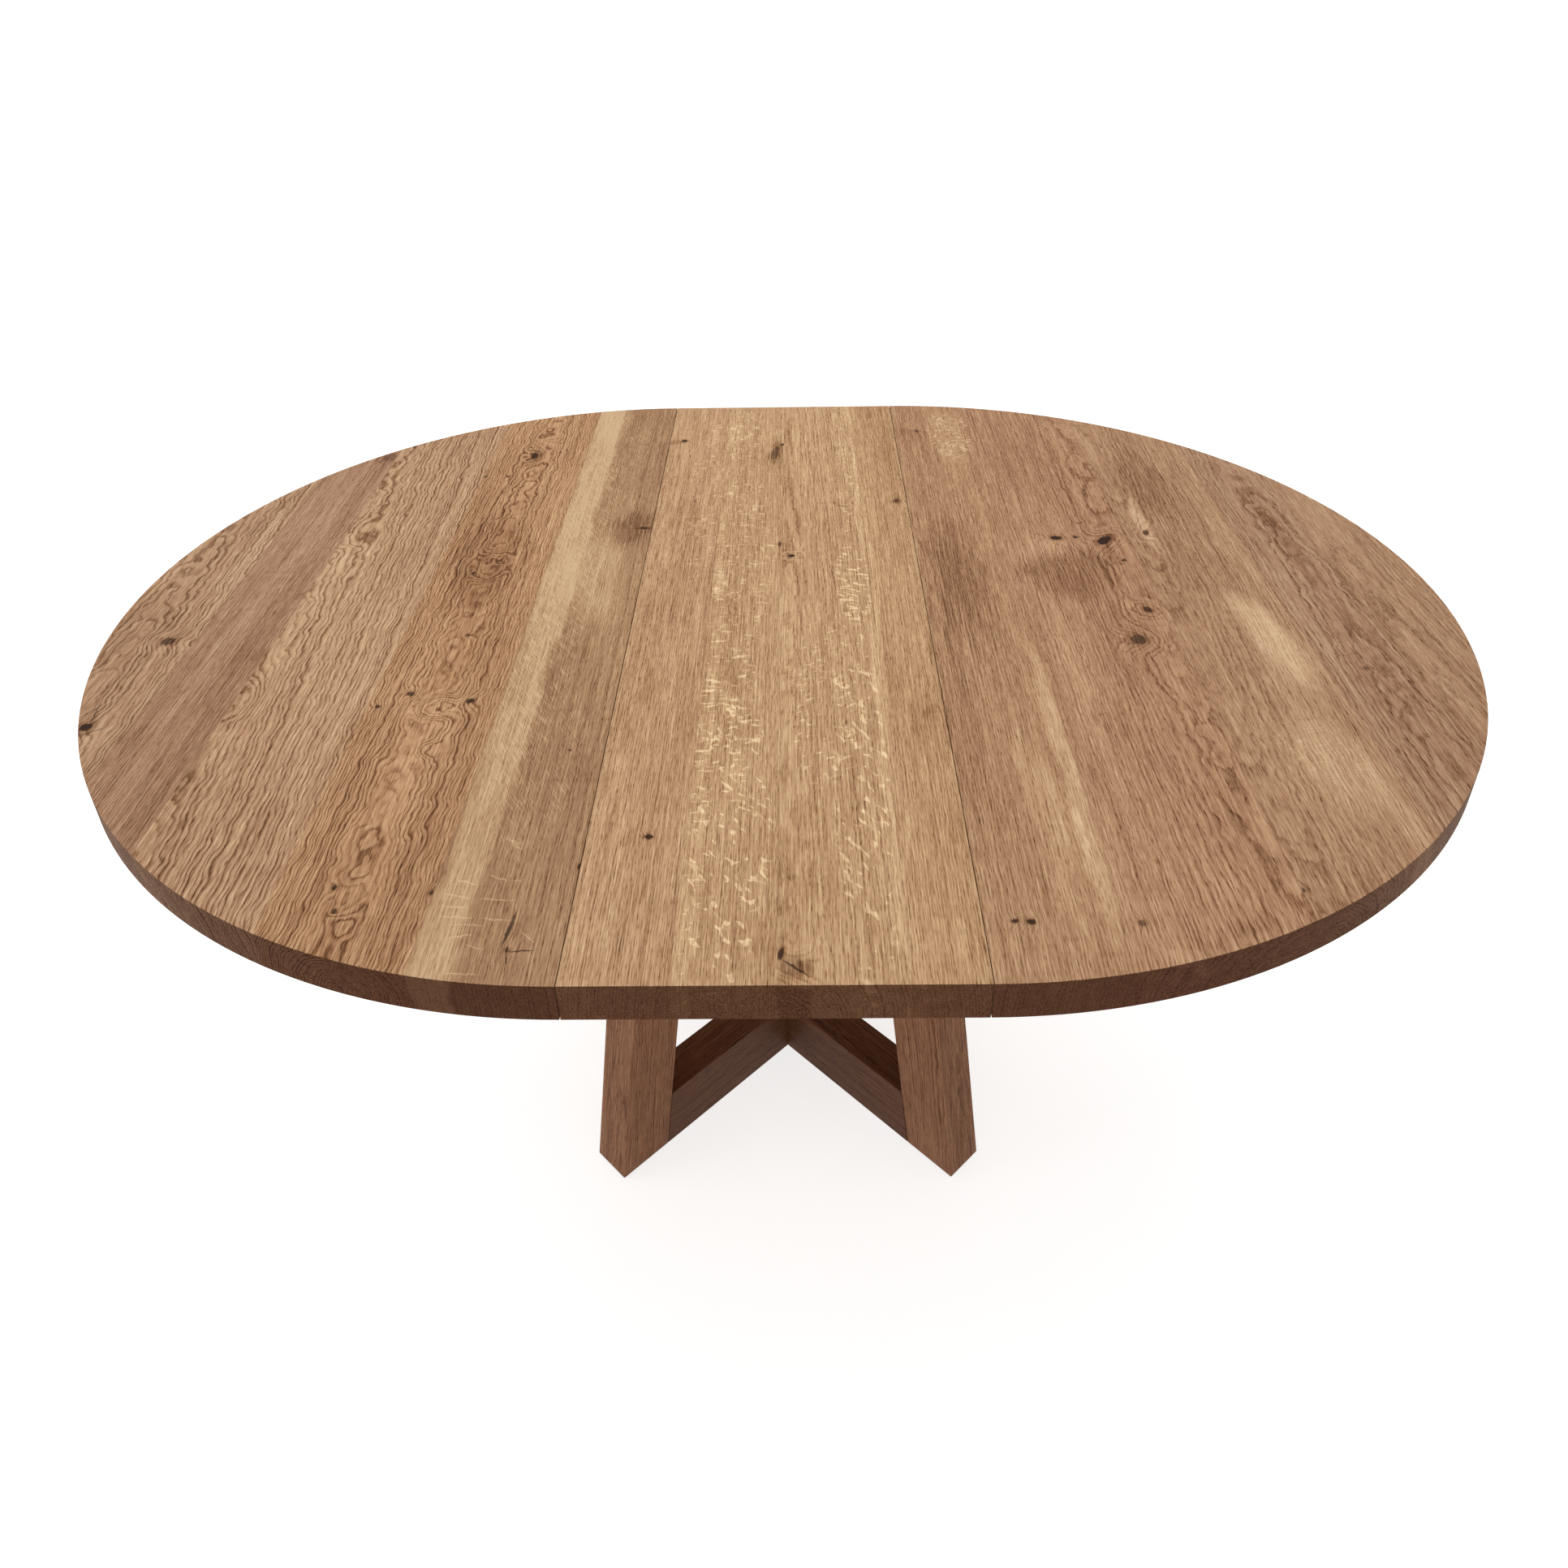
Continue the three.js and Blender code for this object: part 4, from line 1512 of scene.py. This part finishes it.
        def node(kind: str, inputs: dict | None = None, **settings: object) -> bpy.types.Node:
            """Adds a node and links or sets its inputs.

            Args:
                kind: Blender's name of the node type.
                inputs: What goes into its sockets, by name or number.
                **settings: Its properties.

            Returns:
                The new node.
            """
            made_node = tree.nodes.new(kind)
            for key, value in settings.items():
                setattr(made_node, key, value)
            for key, value in (inputs or {}).items():
                if isinstance(value, bpy.types.NodeSocket):
                    tree.links.new(value, made_node.inputs[key])
                else:
                    made_node.inputs[key].default_value = value
            return made_node

        given = node("NodeGroupInput").outputs
        size = node("ShaderNodeCombineXYZ", {0: given["Head Radius"], 1: given["Head Radius"],
                                             2: given["Head Height"]}).outputs[0]
        ball = node("GeometryNodeMeshUVSphere", {"Segments": 24, "Rings": 12, "Radius": 1.0}).outputs[0]
        dome = node("GeometryNodeTransform", {"Geometry": ball, "Scale": size}).outputs[0]
        bar_size = node("ShaderNodeCombineXYZ", {0: given["Recess Length"], 1: given["Recess Width"],
                                                 2: given["Head Height"]}).outputs[0]
        bar = node("GeometryNodeMeshCube", {"Size": bar_size}).outputs[0]
        lift = node("ShaderNodeCombineXYZ", {2: given["Head Height"]}).outputs[0]
        first = node("GeometryNodeTransform", {"Geometry": bar, "Translation": lift}).outputs[0]
        second = node("GeometryNodeTransform",
                      {"Geometry": first, "Rotation": (0.0, 0.0, math.pi / 2)}).outputs[0]
        carved = node("GeometryNodeMeshBoolean", {"Mesh 1": dome, "Mesh 2": first},
                      operation="DIFFERENCE")
        carved = node("GeometryNodeMeshBoolean", {"Mesh 1": carved.outputs[0], "Mesh 2": second},
                      operation="DIFFERENCE")
        disc = node("GeometryNodeMeshCylinder", {"Vertices": 28, "Radius": given["Washer Radius"],
                                                 "Depth": given["Washer Height"]}).outputs[0]
        turn = node("GeometryNodeInputNamedAttribute", {"Name": "turn"},
                    data_type="FLOAT_VECTOR").outputs[0]
        flag = node("GeometryNodeInputNamedAttribute", {"Name": "washer"},
                    data_type="BOOLEAN").outputs[0]
        heads = node("GeometryNodeInstanceOnPoints", {
            "Points": given["Geometry"], "Instance": carved.outputs[0], "Rotation": turn}).outputs[0]
        spin = node("FunctionNodeRandomValue",
                    {0: (0.0, 0.0, 0.0), 1: (0.0, 0.0, math.pi), "Seed": given["Seed"]},
                    data_type="FLOAT_VECTOR").outputs[0]
        heads = node("GeometryNodeRotateInstances", {"Instances": heads, "Rotation": spin}).outputs[0]
        discs = node("GeometryNodeInstanceOnPoints", {
            "Points": given["Geometry"], "Selection": flag, "Instance": disc,
            "Rotation": turn}).outputs[0]
        joined = node("GeometryNodeJoinGeometry")
        tree.links.new(heads, joined.inputs[0])
        tree.links.new(discs, joined.inputs[0])
        real = node("GeometryNodeRealizeInstances", {"Geometry": joined.outputs[0]}).outputs[0]
        finished = node("GeometryNodeSetMaterial",
                        {"Geometry": real, "Material": given["Finish"]}).outputs[0]
        node("NodeGroupOutput", {0: finished})
        return tree

    def _place(self, tree: bpy.types.NodeTree, name: str, body: str, points: list[ScrewPoint]) -> None:
        """Makes the screws of one body as a plain mesh.

        Args:
            tree: The node tree.
            name: The piece's name.
            body: The body it rides on.
            points: Its screws.
        """
        mesh = bpy.data.meshes.new(f"{name}_points")
        mesh.from_pydata([point.place for point in points], [], [])
        turn = mesh.attributes.new("turn", "FLOAT_VECTOR", "POINT")
        washer = mesh.attributes.new("washer", "BOOLEAN", "POINT")
        for index, point in enumerate(points):
            turn.data[index].vector = (math.pi if point.down else 0.0, 0.0, 0.0)
            washer.data[index].value = point.washer
        piece = bpy.data.objects.new(name, mesh)
        SCENE.collection.objects.link(piece)
        modifier = piece.modifiers.new("screws", "NODES")
        modifier.node_group = tree
        steel = zinc()
        sizes = {"Head Radius": self.head_radius, "Head Height": self.head_height,
                 "Recess Length": self.recess_length, "Recess Width": self.recess_width,
                 "Washer Radius": self.washer_radius, "Washer Height": self.washer_height,
                 "Seed": self.seed, "Finish": steel}
        for key, value in sizes.items():
            modifier[self.sockets[key]] = value
        graph = bpy.context.evaluated_depsgraph_get()
        real = bpy.data.meshes.new_from_object(piece.evaluated_get(graph), depsgraph=graph)
        solid = in_fixed_order(real, name)
        piece.modifiers.clear()
        piece.data = solid
        for face in solid.polygons:
            face.use_smooth = True
        solid.set_sharp_from_angle(angle=math.radians(self.smooth_to))
        dress(piece, body, steel)


# ------------------------------------------------------------------------------------ studio


@dataclass(frozen=True)
class SoftBox:
    """One large soft light."""

    name: str
    place: Triple
    target: Triple
    width: float
    depth: float
    power: float
    colour: Triple = (1.0, 1.0, 1.0)

    def build(self) -> None:
        """Hangs the light and turns it to its target."""
        lamp = bpy.data.lights.new(self.name, "AREA")
        lamp.shape = "RECTANGLE"
        lamp.size = self.width
        lamp.size_y = self.depth
        lamp.energy = self.power
        lamp.color = self.colour
        holder = bpy.data.objects.new(self.name, lamp)
        holder.location = self.place
        aim = Vector(self.target) - Vector(self.place)
        holder.rotation_euler = aim.to_track_quat("-Z", "Y").to_euler()
        SCENE.collection.objects.link(holder)


@dataclass(frozen=True)
class Studio:
    """A pale floor, soft lights and one camera that looks down at the table from its front.

    horizon and sky are the strength of the room's light at eye level and overhead. The low light
    stands behind the table, under the level of its top, for the rails and legs.
    """

    floor_half: float = 40.0
    sky: float = 0.62
    horizon: float = 0.12
    lens: float = 28.219
    place: Triple = (0.0213, -1.2626, 1.4831)
    pitch: float = 31.642
    yaw: float = -0.796
    roll: float = -0.94
    shift: float = -0.1

    def build(self) -> None:
        """Makes the floor, the lights and the camera."""
        self._floor()
        self._world()
        for box in (
            SoftBox("overhead", (-0.3, 0.6, 3.6), (0.0, 0.0, 0.7), 4.5, 4.0, 96.0, (1.0, 0.985, 0.96)),
            SoftBox("low", (0.3, 2.3, 0.42), (0.0, 0.0, 0.06), 2.6, 0.5, 9.0, (1.0, 1.0, 1.0)),
            SoftBox("window", (-4.2, -0.6, 1.5), (0.0, 0.0, 0.5), 2.6, 1.8, 40.0, (0.93, 0.965, 1.0)),
        ):
            box.build()
        self._camera()
        SCENE.view_settings.view_transform = "Standard"

    def _floor(self) -> None:
        """Lays the floor."""
        half = self.floor_half
        mesh = bpy.data.meshes.new("floor")
        corners = [(-half, -half, 0), (half, -half, 0), (half, half, 0), (-half, half, 0)]
        mesh.from_pydata(corners, [], [(0, 1, 2, 3)])
        mesh.materials.append(PaleFloor().material())
        floor = bpy.data.objects.new("floor", mesh)
        SCENE.collection.objects.link(floor)

    def _world(self) -> None:
        """Fills the room with white light that grows from the horizon upwards."""
        world = bpy.data.worlds.new("studio_air")
        world.use_nodes = True
        nodes = world.node_tree.nodes
        links = world.node_tree.links
        direction = nodes.new("ShaderNodeTexCoord")
        split = nodes.new("ShaderNodeSeparateXYZ")
        rise = nodes.new("ShaderNodeMapRange")
        for index, value in ((1, 0.0), (2, 0.9), (3, self.horizon), (4, self.sky)):
            rise.inputs[index].default_value = value
        links.new(direction.outputs["Generated"], split.inputs[0])
        links.new(split.outputs[2], rise.inputs[0])
        links.new(rise.outputs[0], nodes["Background"].inputs["Strength"])
        nodes["Background"].inputs["Color"].default_value = (1.0, 1.0, 1.0, 1.0)
        SCENE.world = world

    def _camera(self) -> None:
        """Sets the camera above the table's front, looking down at it."""
        pitch, yaw, roll = (math.radians(angle) for angle in (self.pitch, self.yaw, self.roll))
        level_share = math.cos(pitch)
        forward = Vector((math.sin(yaw) * level_share, math.cos(yaw) * level_share, -math.sin(pitch)))
        level = Vector((math.cos(yaw), -math.sin(yaw), 0.0))
        upright = level.cross(forward)
        right = level * math.cos(roll) + upright * math.sin(roll)
        above = upright * math.cos(roll) - level * math.sin(roll)
        data = bpy.data.cameras.new("camera")
        data.sensor_width = 36.0
        data.lens = self.lens
        data.shift_y = self.shift
        data.clip_start = 0.05
        data.clip_end = 200.0
        camera = bpy.data.objects.new("camera", data)
        turned = Matrix((right, above, -forward)).transposed().to_4x4()
        camera.matrix_world = Matrix.Translation(self.place) @ turned
        SCENE.collection.objects.link(camera)
        SCENE.camera = camera


def main() -> None:
    """Builds the table and its studio."""
    logging.basicConfig(level=logging.INFO, format="%(message)s")
    Studio().build()
    for assembly in (TableTop(), CrossedBase(), Runners(), Equaliser(), SeamFittings(), Fasteners()):
        LOG.info("building %s", type(assembly).__name__)
        assembly.build()


if __name__ == "__main__":
    main()
